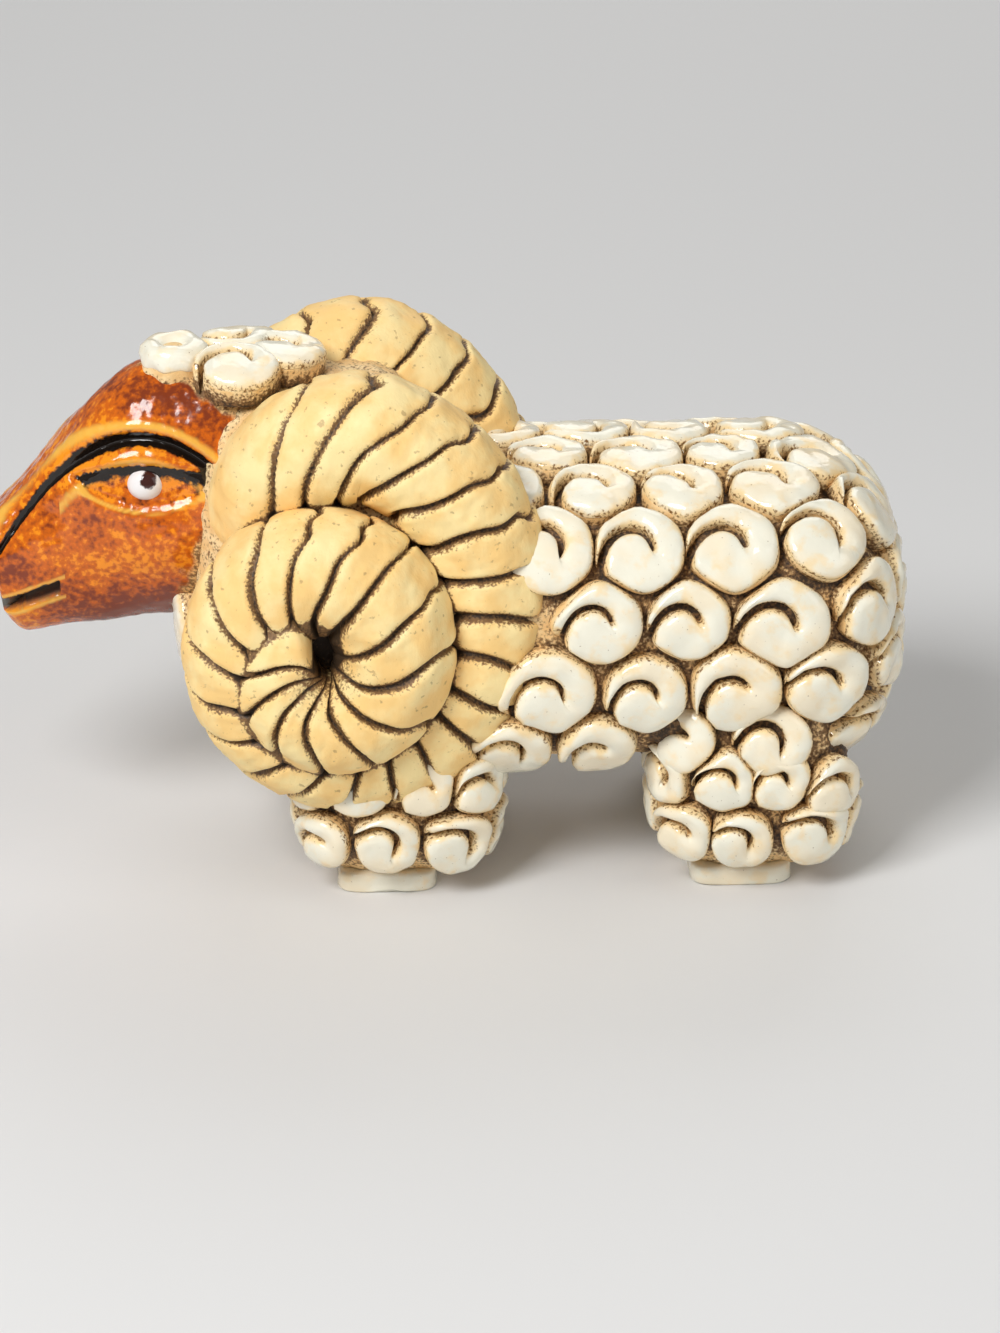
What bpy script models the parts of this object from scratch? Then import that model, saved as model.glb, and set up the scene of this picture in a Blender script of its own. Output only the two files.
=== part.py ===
"""Ram figurine, carved from clay and fired as one piece, with a fleece of spiral curls and two coiled horns.

Frame: +Z up, the feet stand on Z = 0, the head looks along -X, and Y = 0 lies midway between the horns.
Sizes are in millimetres and angles in degrees. MM turns them into Blender's metres where a mesh is made.
"""

import math

import bmesh
import bpy
import numpy as np

MM = 0.001

# Body: a bar with rounded ends, without the curls that stand on it
BODY_LENGTH = 79.5
BODY_WIDTH = 38.0
BODY_HEIGHT = 33.2
BODY_FRONT_X = -25.35
BODY_TOP_Z = 47.2
BODY_END_DEPTH = 17.0
BODY_SQUARENESS = 2.9

# Legs: short rounded columns, one under each corner of the body
LEG_LENGTH = 21.0
LEG_WIDTH = 15.0
LEG_TOP_Z = 27.0
LEG_BOTTOM_Z = 1.4
LEG_END_DEPTH = 7.5
LEG_SQUARENESS = 2.7
FRONT_LEG_X = -4.0
REAR_LEG_INSET = 15.95
LEG_SPACING = 23.0

# Foot plates: the flat slabs that the figure stands on
FOOT_LENGTH = 12.0
FOOT_WIDTH = 11.0
FOOT_HEIGHT = 2.6
FOOT_SQUARENESS = 5.0
FOOT_FORWARD = 1.4

# Neck: the block between the head, the horns and the body
NECK_LENGTH = 30.0
NECK_WIDTH = 28.0
NECK_BOTTOM_Z = 15.0
NECK_TOP_Z = 60.0
NECK_FRONT_X = -28.0
NECK_END_DEPTH = 11.0
NECK_SQUARENESS = 2.6

# Head: a run of oval sections from the nose to the collar
NOSE_X = -56.2
HEAD_LENGTH = 36.0
HEAD_WIDTH = 17.5
MUZZLE_WIDTH = 9.5
MUZZLE_TOP_Z = 41.0
FOREHEAD_TOP_Z = 61.5
CHIN_Z = 27.0
THROAT_Z = 31.6
FOREHEAD_LENGTH = 24.8
NOSE_ROUNDING = 4.0
HEAD_SQUARENESS = 2.3

# Carving on each side of the head, given as X and Z
BROW_START = (-51.2, 38.4)
BROW_CREST = (-36.8, 63.1)
BROW_END = (-24.2, 50.3)
BROW_GROOVE_WIDTH = 1.9
LID_START = (-41.0, 49.6)
LID_UPPER_CREST = (-34.0, 53.2)
LID_LOWER_CREST = (-32.6, 43.6)
LID_END = (-24.2, 50.0)
LID_GROOVE_WIDTH = 0.9
MOUTH_CORNER = (-43.2, 35.75)
MOUTH_HEIGHT = 1.7
MOUTH_SLOPE = 22.6
LOWER_JAW_TIP_X = -50.4
JAW_ROUNDING = 3.2
JAW_LIFT = 3.6
CARVING_STEPS = 9
CARVING_END_SHARE = 0.35
CARVING_DEPTH_SHARE = 1.4
MOUTH_CLEARANCE = 5.0

# Horns: ribbed tubes wound outwards into a low cone, one turn being four quarters
HORN_AXIS_X = -9.2
HORN_AXIS_Z = 35.3
HORN_TOE = 0.45
HORN_DROP = 0.55
HORN_REACH = 28.0
HORN_TIGHTENING = 0.13
HORN_LONG = 0.95
HORN_TALL = 1.07
HORN_QUARTERS = 8.0
HORN_TUBE = 7.6
HORN_FILL = 0.49
HORN_ROOT_QUARTERS = 0.65
HORN_DRAW_START = 0.1
HORN_ROOT_DRAW = 9.5
HORN_ROOT_SINK = 6.0
HORN_ROOT_SPACING = 24.0
HORN_FLARE = 9.5
HORN_CROWN_QUARTERS = 6.5
HORN_END_QUARTERS = 0.5
HORN_SIDES = 18
RIB_QUARTERS = (-0.65, 1.0, 2.5, 4.2, 8.0)
RIBS_PER_QUARTER = (6.6, 6.0, 5.6, 3.4, 2.9)
FIRST_GROOVE = 2
RIB_GROOVE_DEPTH = 1.1
RIB_EDGE_DROP = 0.15

# Fleece: curls set in rings around the body and each leg, every other ring shifted by half a pitch
CURL_RADIUS = 4.6
CURL_HEIGHT = 2.1
CURL_SINK = 1.6
CURL_TAIL_SHARE = 0.2
CURL_TAIL_START = 425.0
CURL_TAIL_ANGLE = 520.0
CURL_RIM_START = 192.0
CURL_TIP_ANGLE = 306.0
CURL_TIP_SPREAD = 20.0
CURL_CUT_WIDTH = 1.15
CUT_MOUTH_ANGLE = 187.0
CUT_END_ANGLE = -35.0
CUT_LINE_SHARE = 0.29
CUT_RUN_OUT = 4.5
CURL_PITCH = 10.4
CURL_ROW_PITCH = 8.2
CURL_ROW_START_X = 19.4
RIDGE_CURL_STEPS = (-1.5, -0.5, 0.5, 1.5, 2.5)
CURL_BEND_RADIUS = 24.0
BELLY_SHARE = 0.9
BURIED_SHARE = 0.85
LEG_CURL_RADIUS = 3.7
LEG_CURL_PITCH = 7.8
LEG_CURL_ROW_PITCH = 7.4
LEG_CURL_Z = 8.2
LEG_CURL_GAP = 4.1
CHEST_CURL_Z = 21.5
UPHILL_LIFT = 40.0

# Topknot: pads between the horns, the front one a round knob with a dimple
KNOB_X = -29.2
KNOB_RADIUS = 3.9
KNOB_HEIGHT = 3.8
KNOB_SINK = 2.6
KNOB_ROOT = 4.0
KNOB_DIMPLE = 1.2
KNOB_RISE = 1.6
KNOB_EDGE_SHARE = 0.75
KNOT_RADIUS = 4.0
KNOT_HEIGHT = 2.6
KNOT_SPACING = 7.6
KNOT_REAR_SPACING = 5.2
KNOT_LIFT = 0.2
KNOT_LEAN = 16.0

# Mesh: the grain of the joined surface, and the count of triangles that it is reduced to
GRAIN = 0.42
TRIANGLES = 10200

# Fired clay under cream enamel
CLAY_COLOUR = (0.86, 0.66, 0.42, 1.0)
CLAY_ROUGHNESS = 0.5


def signed_power(value, exponent):
    """The size of value raised to exponent, with its sign kept."""
    return np.sign(value) * np.abs(value) ** exponent


def add_object(name, points, faces):
    """One object from points in millimetres, with its faces turned outwards."""
    mesh = bpy.data.meshes.new(name)
    shape = bmesh.new()
    corners = [shape.verts.new(tuple(point)) for point in np.asarray(points, float) * MM]
    for face in faces:
        shape.faces.new([corners[index] for index in face])
    bmesh.ops.recalc_face_normals(shape, faces=shape.faces)
    shape.to_mesh(mesh)
    shape.free()
    body = bpy.data.objects.new(name, mesh)
    bpy.context.collection.objects.link(body)
    return body


def loft(name, rings):
    """A closed skin over rings of equally many points, with a flat cap on the first and the last."""
    rings = np.asarray(rings, float)
    count, around = rings.shape[:2]
    faces = []
    for ring in range(count - 1):
        for step in range(around):
            near = ring * around + step
            far = ring * around + (step + 1) % around
            faces.append((near, far, far + around, near + around))
    faces.append(tuple(range(around)))
    faces.append(tuple(reversed(range((count - 1) * around, count * around))))
    return add_object(name, rings.reshape(-1, 3), faces)


def oval(half_width, half_height, squareness, steps):
    """Points of a superellipse, as across and up."""
    angle = np.arange(steps) * 2 * math.pi / steps
    across = half_width * signed_power(np.cos(angle), 2 / squareness)
    up = half_height * signed_power(np.sin(angle), 2 / squareness)
    return across, up


class Bar:
    """A bar along X with rounded ends: a superellipsoid split at its middle and drawn apart."""

    def __init__(self, front_x, back_x, centre_y, bottom_z, top_z, width, end_depth, squareness):
        self.centre = np.array([(front_x + back_x) / 2, centre_y, (bottom_z + top_z) / 2])
        self.end = end_depth
        self.run = (back_x - front_x) / 2 - end_depth
        self.half_width = width / 2
        self.half_height = (top_z - bottom_z) / 2
        self.squareness = squareness

    def build(self, name):
        """The bar as rings in upright planes, from its front to its back."""
        rings = []
        slices = np.linspace(-89, 89, 33)
        for slice_angle in np.radians(slices):
            along = signed_power(math.sin(slice_angle), 2 / self.squareness)
            share = math.cos(slice_angle) ** (2 / self.squareness)
            across, up = oval(self.half_width * share, self.half_height * share, self.squareness, 40)
            shift = math.copysign(self.run, along) if abs(along) > 0.001 else 0.0
            level = np.full(40, along * self.end + shift)
            rings.append(np.column_stack([level, across, up]) + self.centre)
        return loft(name, rings)

    def outward(self, points):
        """The outward direction at points on the skin, from the steepest growth of the superellipsoid."""
        local = points - self.centre
        reach = np.maximum(np.abs(local[:, 0]) - self.run, 0.0) * np.sign(local[:, 0])
        size = np.array([self.end, self.half_width, self.half_height])
        scaled = np.column_stack([reach, local[:, 1], local[:, 2]]) / size
        growth = signed_power(scaled, self.squareness - 1) / size
        return growth / np.linalg.norm(growth, axis=1)[:, None]

    def ring(self, half_width, level, pitch, start_x):
        """Points a pitch apart around a level ring of that half width, one at start_x on the -Y side."""
        angle = np.linspace(0, 2 * math.pi, 721)
        end = self.end * half_width / self.half_width
        along = end * signed_power(np.cos(angle), 2 / self.squareness)
        along = along + self.run * np.sign(np.round(np.cos(angle), 6))
        across = half_width * signed_power(np.sin(angle), 2 / self.squareness)
        line = np.column_stack([along, across, np.full(721, level)]) + self.centre
        travelled = np.concatenate([[0], np.cumsum(np.linalg.norm(np.diff(line, axis=0), axis=1))])
        near_side = np.arange(361, 720)
        start = np.interp(start_x, line[near_side, 0], travelled[near_side])
        count = max(round(travelled[-1] / pitch), 1)
        stops = (start + np.arange(count) * travelled[-1] / count) % travelled[-1]
        return np.column_stack([np.interp(stops, travelled, line[:, axis]) for axis in range(3)])


def section_stops(bar, pitch):
    """Half width and level of rings a pitch apart, from the middle of the top down the side of a bar."""
    angle = np.linspace(math.pi / 2, -math.pi / 2, 361)
    across = bar.half_width * signed_power(np.cos(angle), 2 / bar.squareness)
    level = bar.half_height * signed_power(np.sin(angle), 2 / bar.squareness)
    travelled = np.concatenate([[0], np.cumsum(np.hypot(np.diff(across), np.diff(level)))])
    stops = np.arange(1, int(travelled[-1] / pitch) + 1) * pitch
    return list(zip(np.interp(stops, travelled, across), np.interp(stops, travelled, level)))


def curl_outline():
    """Both sides of the cut and the rim that each faces, as points in shares of the curl's radius.

    The cut starts at the rim on the tail's side, swings over the middle at an even distance and hooks down
    to its round end. The rim is a circle that grows a little towards the tail.
    """
    swing = np.linspace(CUT_MOUTH_ANGLE, CUT_END_ANGLE, 10)
    out = np.clip(swing / CUT_MOUTH_ANGLE, 0, 1)
    line = CUT_LINE_SHARE + (1 - CUT_LINE_SHARE) * out ** CUT_RUN_OUT
    half = CURL_CUT_WIDTH / 2 / CURL_RADIUS
    inner_angle = np.concatenate([swing, [CUT_END_ANGLE - math.degrees(half / line[-1])], swing[:0:-1]])
    inner_reach = np.concatenate([line - half, line[-1:], (line + half)[:0:-1]])
    lobe = np.linspace(CURL_RIM_START, CURL_TIP_ANGLE - CURL_TIP_SPREAD, 10)
    band = np.linspace(CURL_TIP_ANGLE + CURL_TIP_SPREAD, CURL_TAIL_ANGLE, 9)
    rim_angle = np.concatenate([lobe, [CURL_TIP_ANGLE], band])
    tail = np.clip((rim_angle - CURL_TAIL_START) / (CURL_TAIL_ANGLE - CURL_TAIL_START), 0, 1)
    rim_reach = 1 + CURL_TAIL_SHARE * tail ** 2
    inner_angle, rim_angle = np.radians(inner_angle), np.radians(rim_angle)
    inner = np.column_stack([inner_reach * np.cos(inner_angle), inner_reach * np.sin(inner_angle)])
    rim = np.column_stack([rim_reach * np.cos(rim_angle), rim_reach * np.sin(rim_angle)])
    return inner, rim


def curl(name, centre, outward, uphill, size, height, turn):
    """One raised curl: a round pad with a spiral cut, as sections that run from the cut to the rim.

    A section is a low mound, wide at the foot, and the pad is bent down towards its rim to follow the skin.
    """
    across = np.cross(uphill, outward)
    across = across / np.linalg.norm(across) * turn
    up = np.cross(outward, across) * turn
    inner, rim = curl_outline()
    section = [(0.0, -CURL_SINK), (0.04, height * 0.5), (0.2, height), (0.8, height),
               (0.96, height * 0.5), (1.0, -CURL_SINK)]
    rings = []
    for share, lift in section:
        flat = (inner + (rim - inner) * share) * size
        drop = (flat ** 2).sum(axis=1) / (2 * CURL_BEND_RADIUS)
        rings.append(centre + flat[:, :1] * across + flat[:, 1:] * up + (lift - drop)[:, None] * outward)
    return loft(name, np.transpose(np.array(rings), (1, 0, 2)))


def fleece(bar, rows, size, shown):
    """Curls on a bar, one for each point of rows where shown is true, with their tails towards the head."""
    outward = bar.outward(rows)
    pieces = []
    for index in np.nonzero([shown(point) for point in rows])[0]:
        point = rows[index]
        normal = outward[index]
        inward = np.array([0.0, -point[1], 0.0]) + np.array([0.0, 0.0, UPHILL_LIFT]) * (1 - abs(normal[2]))
        uphill = inward if abs(inward @ inward) > 1.0 else np.array([0.0, 1.0, 0.0])
        uphill = uphill - normal * (uphill @ normal)
        turn = 1.0 if point[1] < 0.5 else -1.0
        pieces.append(curl("curl", point, normal, uphill / np.linalg.norm(uphill), size, CURL_HEIGHT, turn))
    return pieces


def head_levels(x):
    """Lowest level, highest level and half width of the head at x, without the rounding of the nose."""
    back = np.clip((x - NOSE_X) / HEAD_LENGTH, 0, 1)
    rise = np.clip((x - NOSE_X) / FOREHEAD_LENGTH, 0, 1)
    top = MUZZLE_TOP_Z + (FOREHEAD_TOP_Z - MUZZLE_TOP_Z) * rise ** 2 * (3 - 2 * rise)
    from_tip = np.clip((x - LOWER_JAW_TIP_X) / JAW_ROUNDING, 0, 1)
    bottom = CHIN_Z + (THROAT_Z - CHIN_Z) * back + JAW_LIFT * (1 - from_tip) ** 2
    half = (MUZZLE_WIDTH + (HEAD_WIDTH - MUZZLE_WIDTH) * np.sin(back * math.pi / 2)) / 2
    return bottom, top, half


def build_head():
    """Oval sections along X, shrunk towards a rounded nose at the front."""
    rings = []
    tip = NOSE_X + NOSE_ROUNDING * (1 - np.cos(np.linspace(0.15, math.pi / 2, 7)))
    rest = np.linspace(NOSE_X + NOSE_ROUNDING, NOSE_X + HEAD_LENGTH, 14)[1:]
    for x in np.concatenate([tip, rest]):
        bottom, top, half = head_levels(x)
        inset = np.clip((x - NOSE_X) / NOSE_ROUNDING, 0, 1)
        share = math.sqrt(1 - (1 - inset) ** 2)
        across, up = oval(half * share, (top - bottom) / 2 * share, HEAD_SQUARENESS, 32)
        rings.append(np.column_stack([np.full(32, x), across, (top + bottom) / 2 + up]))
    return loft("head", rings)


def carved_line(name, start, crest, end, width, side):
    """A cutter along the head's flank, as a round bar on the bow from start over crest to end."""
    start, crest, end = np.array(start), np.array(crest), np.array(end)
    share = np.linspace(0, 1, CARVING_STEPS)[:, None]
    bow = (1 - share) ** 2 * start + 2 * share * (1 - share) * crest + share ** 2 * end
    bottom, top, half = head_levels(bow[:, 0])
    height = np.clip((bow[:, 1] - (bottom + top) / 2) / ((top - bottom) / 2), -0.98, 0.98)
    flank = half * (1 - np.abs(height) ** HEAD_SQUARENESS) ** (1 / HEAD_SQUARENESS)
    swell = np.sqrt(np.maximum(np.sin(share[:, 0] * math.pi), 0))
    thick = width / 2 * (CARVING_END_SHARE + (1 - CARVING_END_SHARE) * swell)
    angle = np.arange(5) * math.pi / 2.5 - math.pi / 2
    rings = []
    for spot in range(CARVING_STEPS):
        slope = bow[min(spot + 1, CARVING_STEPS - 1)] - bow[max(spot - 1, 0)]
        slope = slope / np.linalg.norm(slope)
        away = np.array([-slope[1], slope[0]])
        ring_x = bow[spot, 0] + away[0] * thick[spot] * np.cos(angle)
        ring_z = bow[spot, 1] + away[1] * thick[spot] * np.cos(angle)
        ring_y = side * (flank[spot] + thick[spot] * CARVING_DEPTH_SHARE * np.sin(angle))
        rings.append(np.column_stack([ring_x, ring_y, ring_z]))
    return loft(name, rings)


def mouth_cutter():
    """A wedge across the muzzle: a slot behind the lower jaw's tip, and all in front of that tip."""
    slope = math.tan(math.radians(MOUTH_SLOPE))
    corner_x, corner_z = MOUTH_CORNER
    front_x = NOSE_X - MOUTH_CLEARANCE
    jaw_drop = slope * (corner_x - LOWER_JAW_TIP_X)
    front_drop = slope * (corner_x - front_x)
    low = CHIN_Z - MOUTH_CLEARANCE
    outline = [(corner_x, corner_z + MOUTH_HEIGHT / 2), (corner_x, corner_z - MOUTH_HEIGHT / 2),
               (LOWER_JAW_TIP_X, corner_z - MOUTH_HEIGHT / 2 - jaw_drop), (LOWER_JAW_TIP_X, low),
               (front_x, low), (front_x, corner_z + MOUTH_HEIGHT / 2 - front_drop)]
    sides = [np.array([(x, y, z) for x, z in outline]) for y in (-HEAD_WIDTH, HEAD_WIDTH)]
    return loft("mouth", sides)


def horn_path(quarter):
    """Middle of the horn's tube and the tube's radius after so many quarter turns.

    The spiral's reach shrinks by an even share each quarter. The tube keeps its size until it fills the coil,
    and before the first quarter the root is drawn in towards the head.
    """
    reach = HORN_REACH * np.exp(-HORN_TIGHTENING * quarter)
    tube = np.minimum(HORN_TUBE, reach * HORN_FILL)
    draw = HORN_ROOT_DRAW * np.maximum((HORN_DRAW_START - quarter) / HORN_ROOT_QUARTERS, 0) ** 1.5
    radius = reach - tube - draw
    angle = math.pi / 2 * (1 - quarter)
    x = HORN_AXIS_X - HORN_TOE * quarter + radius * HORN_LONG * np.cos(angle)
    z = HORN_AXIS_Z - HORN_DROP * quarter + radius * HORN_TALL * np.sin(angle)
    y = HORN_ROOT_SPACING / 2 + HORN_FLARE * np.sin(math.pi / 2 * quarter / HORN_CROWN_QUARTERS)
    y = y - HORN_ROOT_SINK * np.clip(-quarter / HORN_ROOT_QUARTERS, 0, 1) ** 2
    return np.column_stack([x, y, z]), tube


def build_horn(side):
    """Rings of the tube at each groove, on both its edges and on the crown of each rib between."""
    fine = np.linspace(-HORN_ROOT_QUARTERS, HORN_QUARTERS, 400)
    rate = np.interp(fine, RIB_QUARTERS, RIBS_PER_QUARTER)
    count = np.concatenate([[0], np.cumsum((rate[1:] + rate[:-1]) / 2 * np.diff(fine))])
    profile = [(0.0, RIB_GROOVE_DEPTH), (0.13, RIB_EDGE_DROP), (0.5, 0.0), (0.87, RIB_EDGE_DROP)]
    stops = np.array([rib + place for rib in range(int(count[-1])) for place, depth in profile])
    depths = np.array([depth for rib in range(int(count[-1])) for place, depth in profile])
    depths = np.where(stops < FIRST_GROOVE, 0.0, depths)
    quarter = np.interp(stops, count, fine)
    middle, tube = horn_path(quarter)
    ahead = horn_path(quarter + 0.02)[0]
    heading = ahead - middle
    heading = heading / np.linalg.norm(heading, axis=1)[:, None]
    outward = np.cross(heading, np.cross([0.0, 1.0, 0.0], heading))
    outward = outward / np.linalg.norm(outward, axis=1)[:, None]
    sideways = np.cross(heading, outward)
    end = np.clip((quarter[-1] - quarter) / HORN_END_QUARTERS, 0.1, 1)
    size = (tube - depths) * np.sqrt(1 - (1 - end) ** 2)
    angle = (np.arange(HORN_SIDES) * 2 * math.pi / HORN_SIDES)[None, :, None]
    around = np.cos(angle) * outward[:, None] + np.sin(angle) * sideways[:, None]
    rings = middle[:, None] + size[:, None, None] * around
    return loft("horn", rings * np.array([1, side, 1]))


def turned(name, centre, profile, steps):
    """A round piece about an upright line through centre, from radius and height pairs."""
    angle = np.arange(steps) * 2 * math.pi / steps
    rings = []
    for radius, height in profile:
        ring = np.column_stack([radius * np.cos(angle), radius * np.sin(angle), np.full(steps, height)])
        rings.append(ring + np.array(centre))
    return loft(name, rings)


def build_topknot():
    """The knob over the forehead, and three curls behind it between the horns."""
    edge = KNOB_RADIUS * KNOB_EDGE_SHARE
    middle = KNOB_RADIUS - edge
    profile = [(KNOB_RADIUS, -KNOB_ROOT), (KNOB_RADIUS, KNOB_HEIGHT - middle), (edge, KNOB_HEIGHT),
               (middle * 1.5, KNOB_HEIGHT), (middle, KNOB_HEIGHT - KNOB_DIMPLE)]
    pieces = [turned("knob", (KNOB_X, 0.0, FOREHEAD_TOP_Z + KNOB_RISE - KNOB_SINK), profile, 16)]
    lean = math.radians(KNOT_LEAN)
    outward = np.array([-math.sin(lean), 0.0, math.cos(lean)])
    uphill = np.array([math.cos(lean), 0.0, math.sin(lean)])
    for back, across in ((0.0, -0.5), (0.0, 0.5), (KNOT_REAR_SPACING, 0.0)):
        place = np.array([KNOB_X + KNOT_SPACING + back, across * KNOT_SPACING, FOREHEAD_TOP_Z + KNOT_LIFT])
        pieces.append(curl("knot", place, outward, uphill, KNOT_RADIUS, KNOT_HEIGHT, turn=1.0))
    return pieces


def foot_plate(x, y):
    """One flat slab with rounded corners, its underside on Z = 0."""
    across, along = oval(FOOT_LENGTH / 2, FOOT_WIDTH / 2, FOOT_SQUARENESS, 20)
    rings = [np.column_stack([x + across, y + along, np.full(20, level)]) for level in (0.0, FOOT_HEIGHT)]
    return loft("foot_plate", rings)


def join(name, pieces):
    """All pieces as loose shells of one mesh object."""
    shape = bmesh.new()
    for piece in pieces:
        shape.from_mesh(piece.data)
    mesh = bpy.data.meshes.new(name)
    shape.to_mesh(mesh)
    shape.free()
    for piece in pieces:
        bpy.data.objects.remove(piece)
    body = bpy.data.objects.new(name, mesh)
    bpy.context.collection.objects.link(body)
    return body


def settle(body):
    """The object's mesh as its modifiers leave it, with the modifiers taken off."""
    bpy.context.view_layer.update()
    finished = body.evaluated_get(bpy.context.evaluated_depsgraph_get())
    mesh = bpy.data.meshes.new_from_object(finished)
    body.modifiers.clear()
    body.data = mesh


def fuse(body):
    """One skin over all that the joined shells fill, then reduced to the wanted count of triangles."""
    skin = body.modifiers.new("one_skin", "REMESH")
    skin.mode = "VOXEL"
    skin.voxel_size = GRAIN * MM
    settle(body)
    triangles = sum(len(face.vertices) - 2 for face in body.data.polygons)
    fewer = body.modifiers.new("fewer_faces", "DECIMATE")
    fewer.ratio = min(TRIANGLES / triangles, 1.0)
    fewer.use_collapse_triangulate = True
    settle(body)


def cut_or_add(body, tools, operation):
    """The tools cut from the body, or united with it, one after the other."""
    for tool in tools:
        tool.hide_render = True
        tool.display_type = "WIRE"
        change = body.modifiers.new(tool.name, "BOOLEAN")
        change.operation = operation
        change.object = tool
    settle(body)
    for tool in tools:
        bpy.data.objects.remove(tool)


def clay():
    """The clay's own finish, under the colours of enamel and glaze."""
    finish = bpy.data.materials.new("fired_clay")
    finish.use_nodes = True
    shader = finish.node_tree.nodes["Principled BSDF"]
    shader.inputs["Base Color"].default_value = CLAY_COLOUR
    shader.inputs["Roughness"].default_value = CLAY_ROUGHNESS
    shader.inputs["Metallic"].default_value = 0.0
    return finish


def build_ram():
    """The whole figure: solid forms and curls fused, then the carving cut and the foot plates added."""
    body_back_x = BODY_FRONT_X + BODY_LENGTH
    body_bar = Bar(BODY_FRONT_X, body_back_x, 0.0, BODY_TOP_Z - BODY_HEIGHT, BODY_TOP_Z,
                   BODY_WIDTH, BODY_END_DEPTH, BODY_SQUARENESS)
    neck_bar = Bar(NECK_FRONT_X, NECK_FRONT_X + NECK_LENGTH, 0.0, NECK_BOTTOM_Z, NECK_TOP_Z,
                   NECK_WIDTH, NECK_END_DEPTH, NECK_SQUARENESS)
    pieces = [body_bar.build("body"), neck_bar.build("neck"), build_head()]
    pieces += [build_horn(-1), build_horn(1)]
    pieces += build_topknot()
    plates = []

    def clear_of_neck(point):
        """True where a curl of the body isn't buried under the neck or the coil of a horn."""
        reach = np.array([NECK_LENGTH / 2, NECK_WIDTH / 2 + 1, neck_bar.half_height])
        local = (point - neck_bar.centre) / reach
        from_axis = math.hypot(point[0] - HORN_AXIS_X, point[2] - HORN_AXIS_Z)
        under_horn = from_axis < HORN_REACH - HORN_TUBE and abs(point[1]) > NECK_WIDTH / 4
        return (local ** 4).sum() > 1.0 and not under_horn

    def on_chest(point):
        """True where a curl of the neck faces forwards, between the two horns and below the head."""
        return point[0] < NECK_FRONT_X + NECK_END_DEPTH / 2 and abs(point[1]) < NECK_WIDTH / 2

    def clear_of_body(point):
        """True where a curl of a leg lies outside the body."""
        local = (point - body_bar.centre) / np.array([BODY_LENGTH / 2, BODY_WIDTH / 2, BODY_HEIGHT / 2])
        return (np.abs(local) ** 3).sum() > BURIED_SHARE

    def clear_of_leg(point):
        """True where a curl of a leg has room between the two legs of a pair."""
        return abs(point[1]) > LEG_CURL_GAP

    ridge_x = CURL_ROW_START_X + np.array(RIDGE_CURL_STEPS) * CURL_PITCH
    ridge = np.array([(x, 0.0, BODY_TOP_Z) for x in ridge_x])
    pieces += fleece(body_bar, ridge, CURL_RADIUS, clear_of_neck)
    for row, (half_width, level) in enumerate(section_stops(body_bar, CURL_ROW_PITCH)):
        start_x = CURL_ROW_START_X + CURL_PITCH / 2 * (row % 2)
        points = body_bar.ring(half_width, level, CURL_PITCH, start_x)
        if level > -body_bar.half_height * BELLY_SHARE:
            pieces += fleece(body_bar, points, CURL_RADIUS, clear_of_neck)
    for row in range(2):
        level = CHEST_CURL_Z + row * CURL_ROW_PITCH - neck_bar.centre[2]
        share = (1 - abs(level / neck_bar.half_height) ** NECK_SQUARENESS) ** (1 / NECK_SQUARENESS)
        start_x = NECK_FRONT_X + row * CURL_PITCH / 2
        points = neck_bar.ring(neck_bar.half_width * share, level, CURL_PITCH, start_x)
        pieces += fleece(neck_bar, points, CURL_RADIUS, on_chest)
    for x in (FRONT_LEG_X, body_back_x - REAR_LEG_INSET):
        for side in (-1, 1):
            leg = Bar(x - LEG_LENGTH / 2, x + LEG_LENGTH / 2, side * LEG_SPACING / 2, LEG_BOTTOM_Z, LEG_TOP_Z,
                      LEG_WIDTH, LEG_END_DEPTH, LEG_SQUARENESS)
            pieces.append(leg.build("leg"))
            for row in range(2):
                level = LEG_CURL_Z + row * LEG_CURL_ROW_PITCH - leg.centre[2]
                share = (1 - abs(level / leg.half_height) ** LEG_SQUARENESS) ** (1 / LEG_SQUARENESS)
                points = leg.ring(leg.half_width * share, level, LEG_CURL_PITCH, x + LEG_CURL_PITCH / 2 * row)
                pieces += fleece(leg, points, LEG_CURL_RADIUS, clear_of_body if row else clear_of_leg)
            plates.append(foot_plate(x - FOOT_FORWARD, side * LEG_SPACING / 2))
    ram = join("ram", pieces)
    fuse(ram)
    carving = [mouth_cutter()]
    for side in (-1, 1):
        carving.append(carved_line("brow", BROW_START, BROW_CREST, BROW_END, BROW_GROOVE_WIDTH, side))
        carving.append(carved_line("lid", LID_START, LID_UPPER_CREST, LID_END, LID_GROOVE_WIDTH, side))
        carving.append(carved_line("lid", LID_START, LID_LOWER_CREST, LID_END, LID_GROOVE_WIDTH, side))
    cut_or_add(ram, carving, "DIFFERENCE")
    cut_or_add(ram, plates, "UNION")
    ram.data.materials.clear()
    ram.data.materials.append(clay())


for leftover in list(bpy.data.objects):
    bpy.data.objects.remove(leftover)
build_ram()
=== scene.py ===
"""Looks of the ceramic ram: clay, horns, glazed head and enamelled fleece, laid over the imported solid."""

import math

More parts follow.
